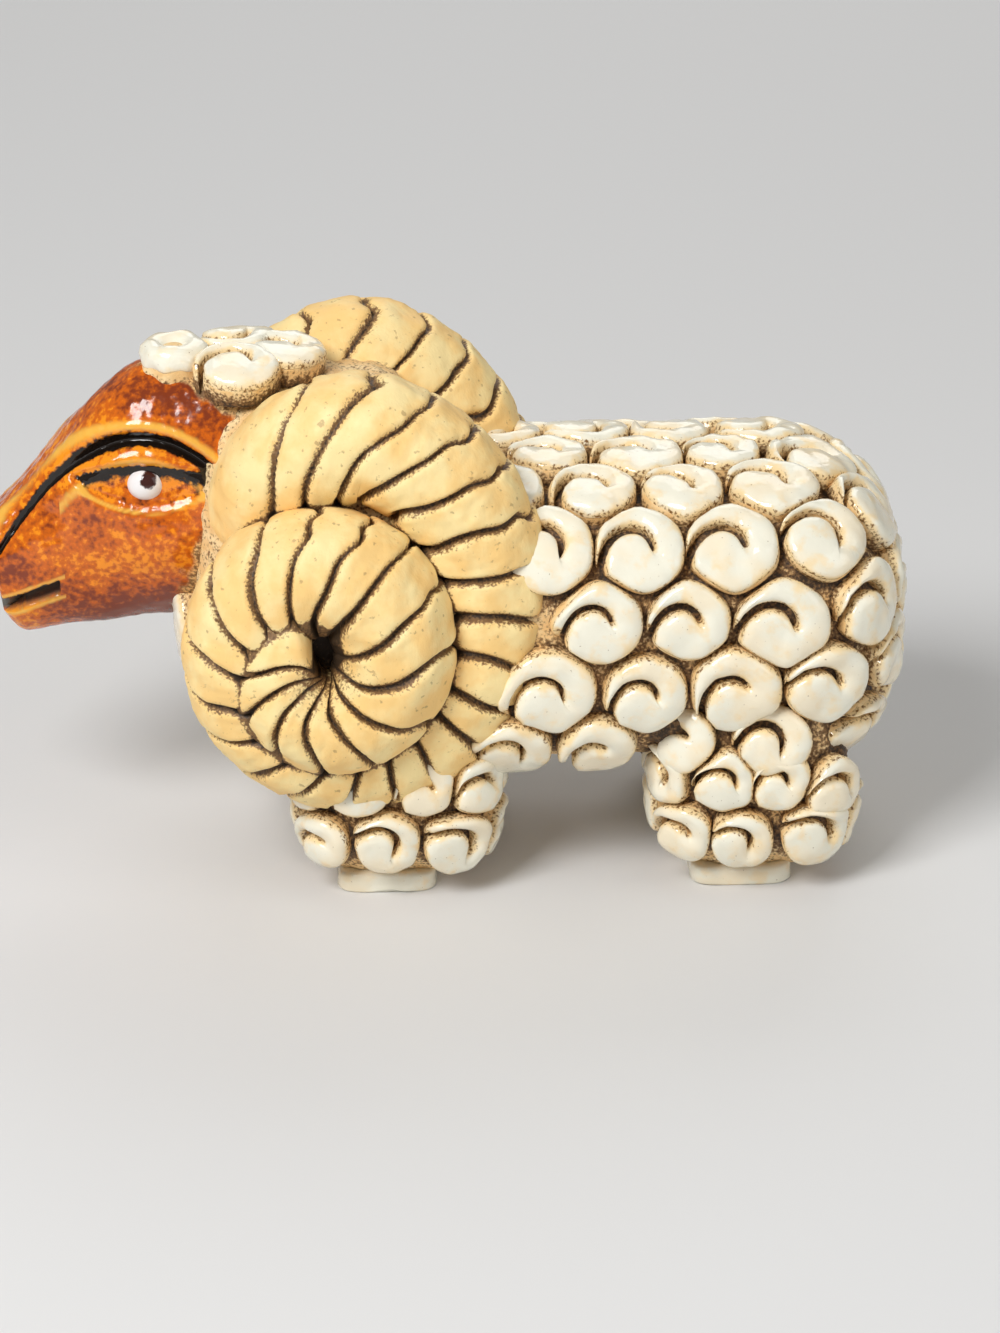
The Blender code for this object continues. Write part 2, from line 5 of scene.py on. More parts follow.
import bpy
import numpy as np
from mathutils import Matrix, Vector


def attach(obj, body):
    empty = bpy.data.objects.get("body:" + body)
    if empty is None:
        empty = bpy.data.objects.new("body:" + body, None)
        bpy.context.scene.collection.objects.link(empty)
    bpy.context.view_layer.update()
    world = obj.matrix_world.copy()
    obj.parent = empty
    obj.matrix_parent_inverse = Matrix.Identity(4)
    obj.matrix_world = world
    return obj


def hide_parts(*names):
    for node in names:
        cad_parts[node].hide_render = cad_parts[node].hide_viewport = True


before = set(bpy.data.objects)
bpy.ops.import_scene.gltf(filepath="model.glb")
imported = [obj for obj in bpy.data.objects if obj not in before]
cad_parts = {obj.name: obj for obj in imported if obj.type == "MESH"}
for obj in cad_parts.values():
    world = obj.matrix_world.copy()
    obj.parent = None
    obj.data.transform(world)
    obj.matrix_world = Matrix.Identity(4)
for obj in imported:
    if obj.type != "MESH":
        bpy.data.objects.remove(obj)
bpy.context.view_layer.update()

# Bare clay of the torso, neck and legs. The real figure is one lump of tan clay, cut to blocks with rounded
# ends, with low round pads left standing for the curls and a dark wash rubbed into everything between them.

MM = 0.001
CLAY_TAN = (0.84, 0.54, 0.23, 1.0)
CLAY_PALE = (0.93, 0.72, 0.40, 1.0)
WASH_DARK = (0.045, 0.025, 0.011, 1.0)
WASH_BROWN = (0.22, 0.115, 0.042, 1.0)
TORSO_FRONT_X, TORSO_BACK_X, TORSO_BOTTOM_Z, TORSO_TOP_Z = -25.35, 54.15, 14.0, 47.2
TORSO_WIDTH, TORSO_END, TORSO_SQUARENESS = 38.0, 17.0, 2.9
NECK_FRONT_X, NECK_BACK_X, NECK_BOTTOM_Z, NECK_TOP_Z = -28.0, 2.0, 15.0, 60.0
NECK_WIDTH, NECK_END, NECK_SQUARENESS = 28.0, 11.0, 2.6
LEG_LENGTH, LEG_WIDTH, LEG_BOTTOM_Z, LEG_TOP_Z = 21.0, 15.0, 1.4, 27.0
LEG_END, LEG_SQUARENESS, LEG_SPACING = 7.5, 2.7, 23.0
LEG_X = (-4.0, 38.2)
CURL_RADIUS, CURL_PITCH, CURL_ROW_PITCH, CURL_ROW_START_X = 5.1, 10.4, 8.2, 19.4
RIDGE_STEPS, LOWEST_ROW, THIGH_CURL, THIGH_ROOM = (-1.5, -0.5, 0.5, 1.5, 2.5), 0.9, 0.9, 1.2
LEG_CURL_RADIUS, LEG_CURL_PITCH, LEG_CURL_Z, LEG_CURL_ROW_PITCH, LEG_CURL_SHIFT = 3.9, 7.1, 8.0, 7.0, 2.6
CHEST_CURL_Z = 21.5
CROWDED, CURL_STRAY, STRAY_SEED, CURL_SIZES = 0.56, 0.34, 31, (0.9, 1.08)
HORN_AXIS_X, HORN_AXIS_Z, HORN_REACH, HORN_TUBE = -9.2, 35.3, 28.0, 7.6
PAD_HEIGHT, PAD_SHARE, PAD_SLOPE = 0.7, 0.86, 1.1
WASH_LEAST, WASH_AT_RIM, WASH_FADE, PIT_WASH, PIT_RADIUS = 0.34, 0.66, 0.9, 1.2, 8.0
CLAY_WAVES = ((3.2, 1, 0.12), (1.1, 2, 0.05))
RIPPLE_WAVES, RIPPLE_RATES, RIPPLE_SIZE = 12, (0.7, 1.6), 3.5
PROFILE_POINTS, OUTLINE_POINTS, RING_POINTS, LEVEL_POINTS, FAR = 2001, 1441, 721, 361, 99.0


def signed_power(value, exponent):
    """The size of value raised to exponent, with its sign kept."""
    return np.sign(value) * np.abs(value) ** exponent


def ripple(points, size, seed):
    """Smooth unevenness between about -1 and 1: a sum of plane waves in random directions, size apart."""
    source = np.random.default_rng(seed)
    waves = source.normal(size=(RIPPLE_WAVES, 3))
    waves = waves / np.linalg.norm(waves, axis=1)[:, None]
    waves = waves * source.uniform(*RIPPLE_RATES, (RIPPLE_WAVES, 1)) * 2 * math.pi / size
    phases = source.uniform(0, 2 * math.pi, RIPPLE_WAVES)
    return np.sin(points @ waves.T + phases).sum(axis=-1) / RIPPLE_SIZE


def unevenness(points, waves):
    """A sum of ripples, each given by its size, its seed and its height."""
    return sum(ripple(points, size, seed) * height for size, seed, height in waves)


def ramp(value, start, run):
    """Nought before start, one from start plus run and straight between; a negative run turns it round."""
    return np.clip((value - start) / run, 0, 1)


def bell(distance, middle, spread):
    """One at middle, and e to the minus square of the distance from it in spreads elsewhere."""
    return np.exp(-((distance - middle) / spread) ** 2)


def lengths_after(steps):
    """What has been travelled at each point of a line, from the steps between its points."""
    return np.concatenate([[0], np.cumsum(steps)])


class Bar:
    """A bar along X with rounded ends: a superellipsoid split at its middle and drawn apart by a run."""

    def __init__(self, front_x, back_x, centre_y, bottom_z, top_z, width, end_depth, squareness):
        self.centre = np.array([(front_x + back_x) / 2, centre_y, (bottom_z + top_z) / 2])
        self.half_length = (back_x - front_x) / 2
        self.run = self.half_length - end_depth
        self.size = np.array([end_depth, width / 2, (top_z - bottom_z) / 2])
        self.squareness = squareness

    def scaled(self, points):
        """Points as shares of the superellipsoid's half sizes, with the straight run taken out of X."""
        local = points - self.centre
        reach = np.maximum(np.abs(local[..., 0]) - self.run, 0.0) * np.sign(local[..., 0])
        return np.stack([reach, local[..., 1], local[..., 2]], axis=-1) / self.size

    def outward(self, points):
        """Unit outward directions: the gradient of the superellipsoid's own sum of powers."""
        growth = signed_power(self.scaled(points), self.squareness - 1) / self.size
        return growth / np.maximum(np.linalg.norm(growth, axis=-1, keepdims=True), 1e-9)

    def pressed(self, points):
        """Points moved along the gradient until the sum of powers is one, by four Newton steps."""
        points = points.copy()
        for step in range(4):
            scaled = self.scaled(points)
            total = (np.abs(scaled) ** self.squareness).sum(axis=-1, keepdims=True)
            growth = self.squareness * signed_power(scaled, self.squareness - 1) / self.size
            points -= growth * (total - 1) / np.maximum((growth ** 2).sum(axis=-1, keepdims=True), 1e-4)
        return points

    def grid(self, along, around):
        """The skin as along by around points: upright rings, spaced evenly by length along X and round."""
        p = self.squareness
        tilt = np.linspace(-math.pi / 2, math.pi / 2, PROFILE_POINTS)
        reach = signed_power(np.sin(tilt), 2 / p) * self.size[0]
        share = np.cos(tilt).clip(0) ** (2 / p)
        reach = reach + np.where(tilt > 0, self.run, -self.run)
        travelled = lengths_after(np.hypot(np.diff(reach), np.diff(share) * self.size[1]))
        stops = np.linspace(0, travelled[-1], along)
        level, share = np.interp(stops, travelled, reach), np.interp(stops, travelled, share)
        angle = np.linspace(0, 2 * math.pi, OUTLINE_POINTS)
        across = self.size[1] * signed_power(np.cos(angle), 2 / p)
        up = self.size[2] * signed_power(np.sin(angle), 2 / p)
        gone_round = lengths_after(np.hypot(np.diff(across), np.diff(up)))
        round_stops = np.arange(around) / around * gone_round[-1]
        across, up = np.interp(round_stops, gone_round, across), np.interp(round_stops, gone_round, up)
        spread = np.broadcast_to(level[:, None], (along, around))
        return np.stack([spread, share[:, None] * across, share[:, None] * up], axis=-1) + self.centre

    def ring(self, half_width, level, pitch, start_x):
        """Points about a pitch apart round the level ring of a half width, one at start_x on the -Y side."""
        angle = np.linspace(0, 2 * math.pi, RING_POINTS)
        end = self.size[0] * half_width / self.size[1]
        along = end * signed_power(np.cos(angle), 2 / self.squareness)
        along = along + self.run * np.sign(np.round(np.cos(angle), 6))
        across = half_width * signed_power(np.sin(angle), 2 / self.squareness)
        line = np.column_stack([along, across, np.full(RING_POINTS, level)]) + self.centre
        travelled = lengths_after(np.linalg.norm(np.diff(line, axis=0), axis=1))
        near_side = np.arange(RING_POINTS // 2 + 1, RING_POINTS - 1)
        start = np.interp(start_x, line[near_side, 0], travelled[near_side])
        count = max(round(travelled[-1] / pitch), 1)
        stops = (start + np.arange(count) * travelled[-1] / count) % travelled[-1]
        return np.column_stack([np.interp(stops, travelled, line[:, axis]) for axis in range(3)])

    def levels(self, pitch):
        """Half width and level of rings a pitch apart, from the middle of the top down the side."""
        angle = np.linspace(math.pi / 2, -math.pi / 2, LEVEL_POINTS)
        across = self.size[1] * signed_power(np.cos(angle), 2 / self.squareness)
        level = self.size[2] * signed_power(np.sin(angle), 2 / self.squareness)
        travelled = lengths_after(np.hypot(np.diff(across), np.diff(level)))
        stops = np.arange(1, int(travelled[-1] / pitch) + 1) * pitch
        return list(zip(np.interp(stops, travelled, across), np.interp(stops, travelled, level)))

    def half_width_at(self, level):
        """Half width of the level ring at a height above the bar's middle."""
        return self.size[1] * (1 - abs(level / self.size[2]) ** self.squareness) ** (1 / self.squareness)


torso = Bar(TORSO_FRONT_X, TORSO_BACK_X, 0, TORSO_BOTTOM_Z, TORSO_TOP_Z,
            TORSO_WIDTH, TORSO_END, TORSO_SQUARENESS)
neck = Bar(NECK_FRONT_X, NECK_BACK_X, 0, NECK_BOTTOM_Z, NECK_TOP_Z,
           NECK_WIDTH, NECK_END, NECK_SQUARENESS)
legs = [Bar(x - LEG_LENGTH / 2, x + LEG_LENGTH / 2, side * LEG_SPACING / 2, LEG_BOTTOM_Z, LEG_TOP_Z,
            LEG_WIDTH, LEG_END, LEG_SQUARENESS) for x in LEG_X for side in (-1, 1)]


def on_torso(point):
    """True where a curl of the torso isn't buried under the neck or the coil of a horn."""
    local = (point - neck.centre) / np.array([neck.half_length, NECK_WIDTH / 2 + 1, neck.size[2]])
    from_axis = math.hypot(point[0] - HORN_AXIS_X, point[2] - HORN_AXIS_Z)
    under_horn = from_axis < HORN_REACH - HORN_TUBE and abs(point[1]) > NECK_WIDTH / 4
    return (local ** 4).sum() > 1.0 and not under_horn


def on_leg(point):
    """True where a curl of a leg lies outside the torso."""
    reach = np.array([torso.half_length, torso.size[1], torso.size[2]])
    return (np.abs((point - torso.centre) / reach) ** 3).sum() > 0.85


def curl_places():
    """Each curl's bar, middle on the skin and radius, by rings of even pitch, every second one shifted."""
    places = []
    for step in RIDGE_STEPS:
        on_ridge = np.array([CURL_ROW_START_X + step * CURL_PITCH, 0.0, TORSO_TOP_Z])
        places.append((torso, on_ridge, CURL_RADIUS))
    for row, (half_width, level) in enumerate(torso.levels(CURL_ROW_PITCH)):
        start_x = CURL_ROW_START_X + CURL_PITCH / 2 * (row % 2)
        if level > -torso.size[2] * LOWEST_ROW:
            for point in torso.ring(half_width, level, CURL_PITCH, start_x):
                depths = [(np.abs(leg.scaled(point)) ** leg.squareness).sum() for leg in legs]
                inside = [leg for leg, depth in zip(legs, depths) if depth < THIGH_ROOM]
                if inside:
                    places.append((inside[0], inside[0].pressed(point[None])[0], CURL_RADIUS * THIGH_CURL))
                else:
                    places.append((torso, point, CURL_RADIUS))
    places = [place for place in places if on_torso(place[1])]
    for row in range(2):
        level = CHEST_CURL_Z + row * CURL_ROW_PITCH - neck.centre[2]
        start_x = NECK_FRONT_X + row * CURL_PITCH / 2
        for point in neck.ring(neck.half_width_at(level), level, CURL_PITCH, start_x):
            if point[0] < NECK_FRONT_X + NECK_END / 2:
                places.append((neck, point, CURL_RADIUS))
    for leg in legs:
        for row in range(2):
            level = LEG_CURL_Z + row * LEG_CURL_ROW_PITCH - leg.centre[2]
            start_x = leg.centre[0] + LEG_CURL_SHIFT - LEG_CURL_PITCH / 2 * (1 - row)
            for point in leg.ring(leg.half_width_at(level), level, LEG_CURL_PITCH, start_x):
                if on_leg(point) if row else abs(point[1]) > LEG_CURL_RADIUS:
                    places.append((leg, point, LEG_CURL_RADIUS))
    source = np.random.default_rng(STRAY_SEED)
    kept = []
    for bar, middle, radius in places:
        strayed = bar.pressed((middle + source.normal(size=3) * CURL_STRAY)[None])[0]
        if all(np.linalg.norm(middle - other) > CROWDED * (radius + size) for same, other, size in kept):
            kept.append((bar, strayed, radius * source.uniform(*CURL_SIZES)))
    return kept


curls = curl_places()
curl_middles = np.array([place[1] for place in curls])
curl_radii = np.array([place[2] for place in curls])


def quads(rows, columns, closed):
    """Corner numbers of the cells of a rows by columns grid, closed round its columns if asked."""
    last = columns if closed else columns - 1
    row, column = np.meshgrid(np.arange(rows - 1), np.arange(last), indexing="ij")
    beside = (column + 1) % columns
    here, ahead = row * columns, (row + 1) * columns
    return np.stack([here + column, here + beside, ahead + beside, ahead + column], axis=-1).reshape(-1, 4)


def end_caps(rows, columns):
    """Corner numbers of the two flat faces that close the first and the last ring of a grid."""
    return [range(columns - 1, -1, -1), range((rows - 1) * columns, rows * columns)]


def skin_piece(name, points, cells, finish, layers, flat_caps=()):
    """A smooth mesh piece from points in millimetres, cells of four corners, caps, and layers of numbers."""
    mesh = bpy.data.meshes.new(name)
    caps = [list(cap) for cap in flat_caps]
    mesh.from_pydata((np.asarray(points).reshape(-1, 3) * MM).tolist(), [], cells.tolist() + caps)
    for layer, values in layers.items():
        numbers = mesh.attributes.new(layer, "FLOAT", "POINT").data
        numbers.foreach_set("value", np.ravel(values).astype(np.float32))
    mesh.shade_smooth()
    mesh.materials.append(finish)
    mesh.validate()
    piece = bpy.data.objects.new(name, mesh)
    bpy.context.collection.objects.link(piece)
    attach(piece, "root")
    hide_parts("ram")
    return piece


class Paint:
    """A new material with short ways to add and join its nodes."""

    def __init__(self, name, roughness, coat=0.0):
        self.finish = bpy.data.materials.new(name)
        self.finish.use_nodes = True
        self.nodes = self.finish.node_tree.nodes
        self.links = self.finish.node_tree.links
        self.shader = self.nodes["Principled BSDF"]
        self.shader.inputs["Roughness"].default_value = roughness
        self.shader.inputs["Coat Weight"].default_value = coat
        self.shader.inputs["Coat Roughness"].default_value = 0.04
        self.place = self.nodes.new("ShaderNodeTexCoord").outputs["Object"]

    def join(self, value, socket):
        """A link from a socket, or a plain value set on it."""
        if isinstance(value, bpy.types.NodeSocket):
            self.links.new(value, socket)
        else:
            socket.default_value = value

    def layer(self, name):
        """The piece's own layer of numbers."""
        node = self.nodes.new("ShaderNodeAttribute")
        node.attribute_name = name
        return node.outputs["Fac"]

    def noise(self, scale, detail=4.0, stretch=None, seed=0.0):
        """Cloudy noise in object space; scale counts its lumps in a metre."""
        node = self.nodes.new("ShaderNodeTexNoise")
        node.inputs["Scale"].default_value = scale
        node.inputs["Detail"].default_value = detail
        shift = self.nodes.new("ShaderNodeMapping")
        shift.inputs["Location"].default_value = (seed, seed * 0.7, seed * 0.3)
        shift.inputs["Scale"].default_value = stretch or (1, 1, 1)
        self.links.new(self.place, shift.inputs["Vector"])
        self.links.new(shift.outputs["Vector"], node.inputs["Vector"])
        return node.outputs["Fac"]

    def maths(self, operation, first, second=0.0, clamp=False):
        """One step of arithmetic."""
        node = self.nodes.new("ShaderNodeMath")
        node.operation = operation
        node.use_clamp = clamp
        self.join(first, node.inputs[0])
        self.join(second, node.inputs[1])
        return node.outputs[0]

    def broken(self, value, noise, amount):
        """Value plus amount times the noise's swing about a half, so that its edge breaks up."""
        swing = self.maths("MULTIPLY", self.maths("SUBTRACT", noise, 0.5), amount)
        return self.maths("ADD", value, swing)

    def steep(self, value, low, high):
        """Value stretched so that low becomes 0 and high becomes 1, and clamped."""
        node = self.nodes.new("ShaderNodeMapRange")
        node.interpolation_type = "SMOOTHSTEP"
        self.join(value, node.inputs["Value"])
        node.inputs["From Min"].default_value = low
        node.inputs["From Max"].default_value = high
        return node.outputs["Result"]

    def blend(self, share, first, second):
        """The first colour, going over to the second as share goes from 0 to 1."""
        node = self.nodes.new("ShaderNodeMix")
        node.data_type = "RGBA"
        self.join(share, node.inputs["Factor"])
        self.join(first, node.inputs[6])
        self.join(second, node.inputs[7])
        return node.outputs[2]

    def bump(self, height, strength, distance, under=None):
        """A bump from a height, over another bump if given."""
        node = self.nodes.new("ShaderNodeBump")
        node.inputs["Strength"].default_value = strength
        node.inputs["Distance"].default_value = distance * MM
        self.join(height, node.inputs["Height"])
        if under:
            self.links.new(under, node.inputs["Normal"])
        return node.outputs["Normal"]

    def finished(self, colour, normal, roughness=None):
        """Colour, normal and, where it varies, roughness joined to the shader."""
        self.join(colour, self.shader.inputs["Base Color"])
        self.links.new(normal, self.shader.inputs["Normal"])
        if roughness is not None:
            self.join(roughness, self.shader.inputs["Roughness"])
        return self.finish


def washed_clay():
    """Tan clay under a dark wash: the layer wash sets how much, and noise breaks its edge into speckles."""
    paint = Paint("washed_clay", 0.62)
    speckle = paint.noise(2600, 6.0)
    cloud = paint.noise(420, 4.0, seed=3.0)
    amount = paint.broken(paint.broken(paint.layer("wash"), speckle, 1.9), cloud, 0.8)
    tan = paint.blend(paint.steep(cloud, 0.35, 0.7), CLAY_TAN, CLAY_PALE)
    worn = paint.blend(paint.steep(amount, 0.30, 0.75), tan, WASH_BROWN)
    colour = paint.blend(paint.steep(amount, 0.70, 1.15), worn, WASH_DARK)
    grain = paint.noise(5200, 5.0, seed=5.0)
    normal = paint.bump(cloud, 0.5, 0.5, paint.bump(grain, 0.45, 0.16))
    return paint.finished(colour, normal)


clay_finish = washed_clay()


def ground(name, bar, along, around):
    """A bar's skin with low pads and a wash: it rises by PAD_HEIGHT inside the nearest curl's rim."""
    points = bar.grid(along, around).reshape(-1, 3)
    normals = bar.outward(points)
    rim = np.full(len(points), FAR)
    for middle, radius in zip(curl_middles, curl_radii):
        rim = np.minimum(rim, np.linalg.norm(points - middle, axis=1) - radius)
    rise = np.clip(0.5 - (rim + curl_radii.max() * (1 - PAD_SHARE)) / PAD_SLOPE, 0, 1)
    rise = rise * rise * (3 - 2 * rise)
    wash = WASH_LEAST + WASH_AT_RIM * np.exp(-np.clip(rim, 0, None) / WASH_FADE)
    from_axis = np.hypot(points[:, 0] - HORN_AXIS_X, points[:, 2] - HORN_AXIS_Z)
    wash = wash + PIT_WASH * bell(from_axis, 0, PIT_RADIUS)
    moved = points + normals * (rise * PAD_HEIGHT + unevenness(points, CLAY_WAVES))[:, None]
    moved = moved.reshape(along, around, 3)
    moved[0] = moved[0].mean(axis=0)
    moved[-1] = moved[-1].mean(axis=0)
    return skin_piece(name, moved, quads(along, around, True), clay_finish, {"wash": wash})


grid_share = 1.0
grounds = [("torso_clay", torso, 250, 230), ("neck_clay", neck, 130, 150)]
grounds += [(f"leg_clay_{number}", leg, 80, 110) for number, leg in enumerate(legs)]
for ground_name, bar, along, around in grounds:
    piece = ground(ground_name, bar, int(along * grid_share), int(around * grid_share))

# Curls of the fleece. Each is a clay band left standing on its pad, wound once round a blob with a narrow cut
# between, and a thick puddle of cream enamel fired on its top, drawn back a little from the clay's edge.

CURL_HEIGHT, CURL_BODY, CURL_GAP, CURL_TAIL = 1.70, 1.10, -0.28, 0.30
ENAMEL_RISE, ENAMEL_MARGIN, ENAMEL_DOME = 0.95, 0.22, 1.10
CUT_WIDTH, CUT_MIDDLE, CUT_RUN_OUT = 0.088, 0.20, 2.4
CUT_MOUTH_ANGLE, CUT_END_ANGLE, CUT_POINTS, CUT_END_POINTS = 197.0, -20.0, 30, 5
RIM_SPANS = ((201, 298, CUT_POINTS), (302, 332, CUT_END_POINTS), (338, 547, CUT_POINTS - 1))
TAIL_ANGLE, TAIL_SPREAD, RIM_POWER, CUT_INSIDE = 168, 24, 12.0, 0.03
CURL_SEED, CURL_TWIST, LEG_CURL_LOOSENESS, NEAR_RADII = 77, 12, 2.4, 2.8
CURL_WAVES = ((2.6, 7, 0.10), (7.0, 8, 0.12))
CLAY_DOME, NARROW, NARROW_LEVEL = 1.05, 1.5, 0.62
WALL_OFFSETS = np.array([0.0, 0.16, 0.34, 0.70])
WALL_LEVELS = np.array([-0.7, 0.55, 0.88, 1.0])
MENISCUS_OFFSETS = np.array([0.0, 0.08, 0.32, 0.75, 1.40])
MENISCUS_LEVELS = np.array([-0.30, 0.20, 0.58, 0.86, 1.02])
CREAM = (0.92, 0.82, 0.62, 1.0)
CREAM_WARM = (0.92, 0.74, 0.46, 1.0)
CREAM_COOL = (0.89, 0.86, 0.72, 1.0)


def frame_at(bar, middle, twist, turn):
    """Across, up and outward directions on the skin, up towards the ridge, twisted about the outward one."""
    outward = bar.outward(middle[None])[0]
    rise = np.array([0.0, -middle[1], 0.0]) + np.array([0.0, 0.0, 40.0]) * (1 - abs(outward[2]))
    if abs(rise @ rise) < 1.0:
        rise = np.array([0.0, 1.0, 0.0])
    up = rise - outward * (rise @ outward)
    up = up / np.linalg.norm(up)
    across = np.cross(up, outward) * turn
    return across * math.cos(twist) + up * math.sin(twist), up * math.cos(twist) - across * math.sin(twist)


def rim_at(angle, size, tail, near):
    """Rim's distance from the curl's middle by direction: a circle with a tail, pressed by its neighbours.

    Each neighbour bounds it by a straight line between the two, and all bounds join by a sum of powers.
    """
    turn = np.degrees(angle) % 360
    total = (size * (1 + tail * bell(turn, TAIL_ANGLE, TAIL_SPREAD))) ** -RIM_POWER
    for direction, room in near:
        total = total + (np.maximum(np.cos(angle - direction), 0.15) / room) ** RIM_POWER
    return total ** (-1 / RIM_POWER)


def curl_edges(size, tail, cut_end, cut_width, near):
    """Two lines of equally many points: both sides of the cut, round its end, and the rim that each faces.

    About the curl's middle, the cut's own line keeps near CUT_MIDDLE of the radius and runs out to the rim
    by a power of its swing.
    """
    swing = np.radians(np.linspace(CUT_MOUTH_ANGLE, cut_end, CUT_POINTS))
    out = np.linspace(1, 0, CUT_POINTS)
    edge = rim_at(swing, size, 0.0, near)
    line = size * (CUT_MIDDLE + (1 - CUT_MIDDLE) * out ** CUT_RUN_OUT)
    half = size * cut_width * (0.5 + 0.3 * out)
    lobe_reach = np.minimum(line - half, edge - CUT_INSIDE)
    lobe = np.stack([lobe_reach * np.cos(swing), lobe_reach * np.sin(swing)], axis=-1)
    tail_reach = np.minimum(line + half, rim_at(swing, size, tail, near) - CUT_INSIDE)
    inner_tail = np.stack([tail_reach * np.cos(swing), tail_reach * np.sin(swing)], axis=-1)[:0:-1]
    end = line[-1] * np.array([math.cos(swing[-1]), math.sin(swing[-1])])
    round_end = swing[-1] + math.pi + np.linspace(0.3, math.pi - 0.3, CUT_END_POINTS)
    cap = end + half[-1] * np.stack([np.cos(round_end), np.sin(round_end)], axis=-1)
    inner = np.concatenate([lobe, cap, inner_tail])
    turn = np.radians(np.concatenate([np.linspace(*span) for span in RIM_SPANS]))
    reach = rim_at(turn, size, np.where(turn > 2 * math.pi, tail, 0.0), near)
    return inner, np.stack([reach * np.cos(turn), reach * np.sin(turn)], axis=-1)


ALONG_CURL = np.concatenate([[0, 0.008, 0.02, 0.045], np.linspace(0.08, 0.93, 40), [0.96, 0.98, 0.992, 1.0]])


def band(edges, margin, lean, offsets, levels, height):
    """Flat points and level of a curl on a grid of swing by section, between the cut's two sides and the rim.

    Offsets from either edge set the section near the walls, its middle is domed, and both ends drop alike.
    """
    inner, rim = edges
    share = np.linspace(0, 1, len(inner))
    rows = ALONG_CURL if margin == 0 else ALONG_CURL * 0.955 + 0.022
    inner = np.stack([np.interp(rows, share, inner[:, axis]) for axis in range(2)], axis=-1)
    rim = np.stack([np.interp(rows, share, rim[:, axis]) for axis in range(2)], axis=-1)
    span = rim - inner
    width = np.maximum(np.linalg.norm(span, axis=-1, keepdims=True), 0.02)
    way = span / width
    facing = way @ np.array([math.cos(lean), math.sin(lean)])
    rim_margin = margin * (0.85 + 1.5 * np.clip(facing, 0, 1) ** 2)[:, None]
    cut_margin = np.minimum(margin * 0.4, width * 0.2)
    inner = inner + way * cut_margin
    width = np.maximum(width - cut_margin - np.minimum(rim_margin, width * 0.4), 0.02)
    steps = np.minimum(offsets[None, :], width * (0.05 + offsets[None, :] / offsets[-1] * 0.38))
    steps[:, 0] = 0.0
    along = np.concatenate([steps * (1.0 if margin else 0.6), width / 2, width - steps[:, ::-1]], axis=1)
    flat = inner[:, None] + way[:, None] * along[..., None]
    section = np.concatenate([levels, [ENAMEL_DOME if margin else CLAY_DOME], levels[::-1]])
    ends = np.ones(len(rows))
    ends[:len(levels)] = levels
    ends[-len(levels):] = levels[::-1]
    broad = ramp(width, 0, NARROW)
    level = np.minimum(section[None, :] * (NARROW_LEVEL + (1 - NARROW_LEVEL) * broad), ends[:, None])
    level[:, 0] = levels[0]
    level[:, -1] = levels[0]
    return flat[..., 0], flat[..., 1], level * height


def fleece(name, places, finish, margin, offsets, levels, height, base):
    """The bands of all curls at places as one piece, each with its own size, twist, cut and tail."""
    source = np.random.default_rng(CURL_SEED)
    middles = np.array([place[1] for place in places])
    radii = np.array([place[2] for place in places])
    points, cells, wash, count = [], [], [], 0
    for bar, middle, radius in places:
        loose = LEG_CURL_LOOSENESS if radius < CURL_RADIUS else 1.0
        twist = math.radians(source.normal() * CURL_TWIST * loose)
        turn = 1.0 if middle[1] < 0.5 else -1.0
        across, up = frame_at(bar, middle, twist, turn)
        away = middles - middle
        apart = np.linalg.norm(away, axis=1)
        beside = np.nonzero((apart > 0.1) & (apart < radius * NEAR_RADII))[0]
        rooms = np.maximum(apart * radius / (radius + radii), radius * 0.8) - CURL_GAP
        near = [(math.atan2(away[other] @ up, away[other] @ across), rooms[other]) for other in beside]
        size = radius * CURL_BODY * source.uniform(0.92, 1.06)
        tail = CURL_TAIL * source.uniform(0.1, 1.0)
        cut_end = CUT_END_ANGLE + source.uniform(-40, 40)
        edges = curl_edges(size, tail, cut_end, CUT_WIDTH * source.uniform(0.8, 1.3), near)
        flat_x, flat_y, level = band(edges, margin, source.uniform(2.2, 5.2), offsets, levels, height)
        grid = bar.pressed(middle + flat_x[..., None] * across + flat_y[..., None] * up)
        grid = grid + bar.outward(grid) * (base + level + unevenness(grid, CURL_WAVES))[..., None]
        rows, columns = grid.shape[:2]
        piece_cells = quads(rows, columns, False) + count
        points.append(grid.reshape(-1, 3))
        cells.append(piece_cells if turn > 0 else piece_cells[:, ::-1])
        stain = 1.30 - level / height if margin else 1.12 - 1.15 * level / height
        wash.append(np.clip(stain, 0, 1).reshape(-1))
        count += rows * columns
    layers = {"wash": np.concatenate(wash)}
    piece = skin_piece(name, np.concatenate(points), np.concatenate(cells), finish, layers)


def cream_enamel():
    """Thick glossy enamel: cream with cool and warm drifts, tan and specked at its edge, with pin holes."""
    paint = Paint("cream_enamel", 0.07)
    drift = paint.noise(160, 2.0, seed=1.0)
    patch = paint.noise(430, 4.0, seed=2.0)
    colour = paint.blend(paint.steep(drift, 0.42, 0.62), CREAM_COOL, CREAM)
    colour = paint.blend(paint.maths("MULTIPLY", paint.steep(patch, 0.50, 0.72), 0.75), colour, CREAM_WARM)
    edge = paint.broken(paint.layer("wash"), patch, 1.5)
    colour = paint.blend(paint.steep(edge, 0.45, 1.0), colour, CLAY_PALE)
    dirt = paint.broken(paint.layer("wash"), paint.noise(2600, 6.0, seed=6.0), 1.9)
    colour = paint.blend(paint.steep(dirt, 0.88, 1.25), colour, WASH_BROWN)
    pin = paint.steep(paint.noise(3600, 1.0, seed=4.0), 0.76, 0.80)
    colour = paint.blend(paint.maths("MULTIPLY", pin, 0.7), colour, WASH_BROWN)
    normal = paint.bump(patch, 0.45, 0.35, paint.bump(pin, 0.5, -0.12))
    return paint.finished(colour, normal)


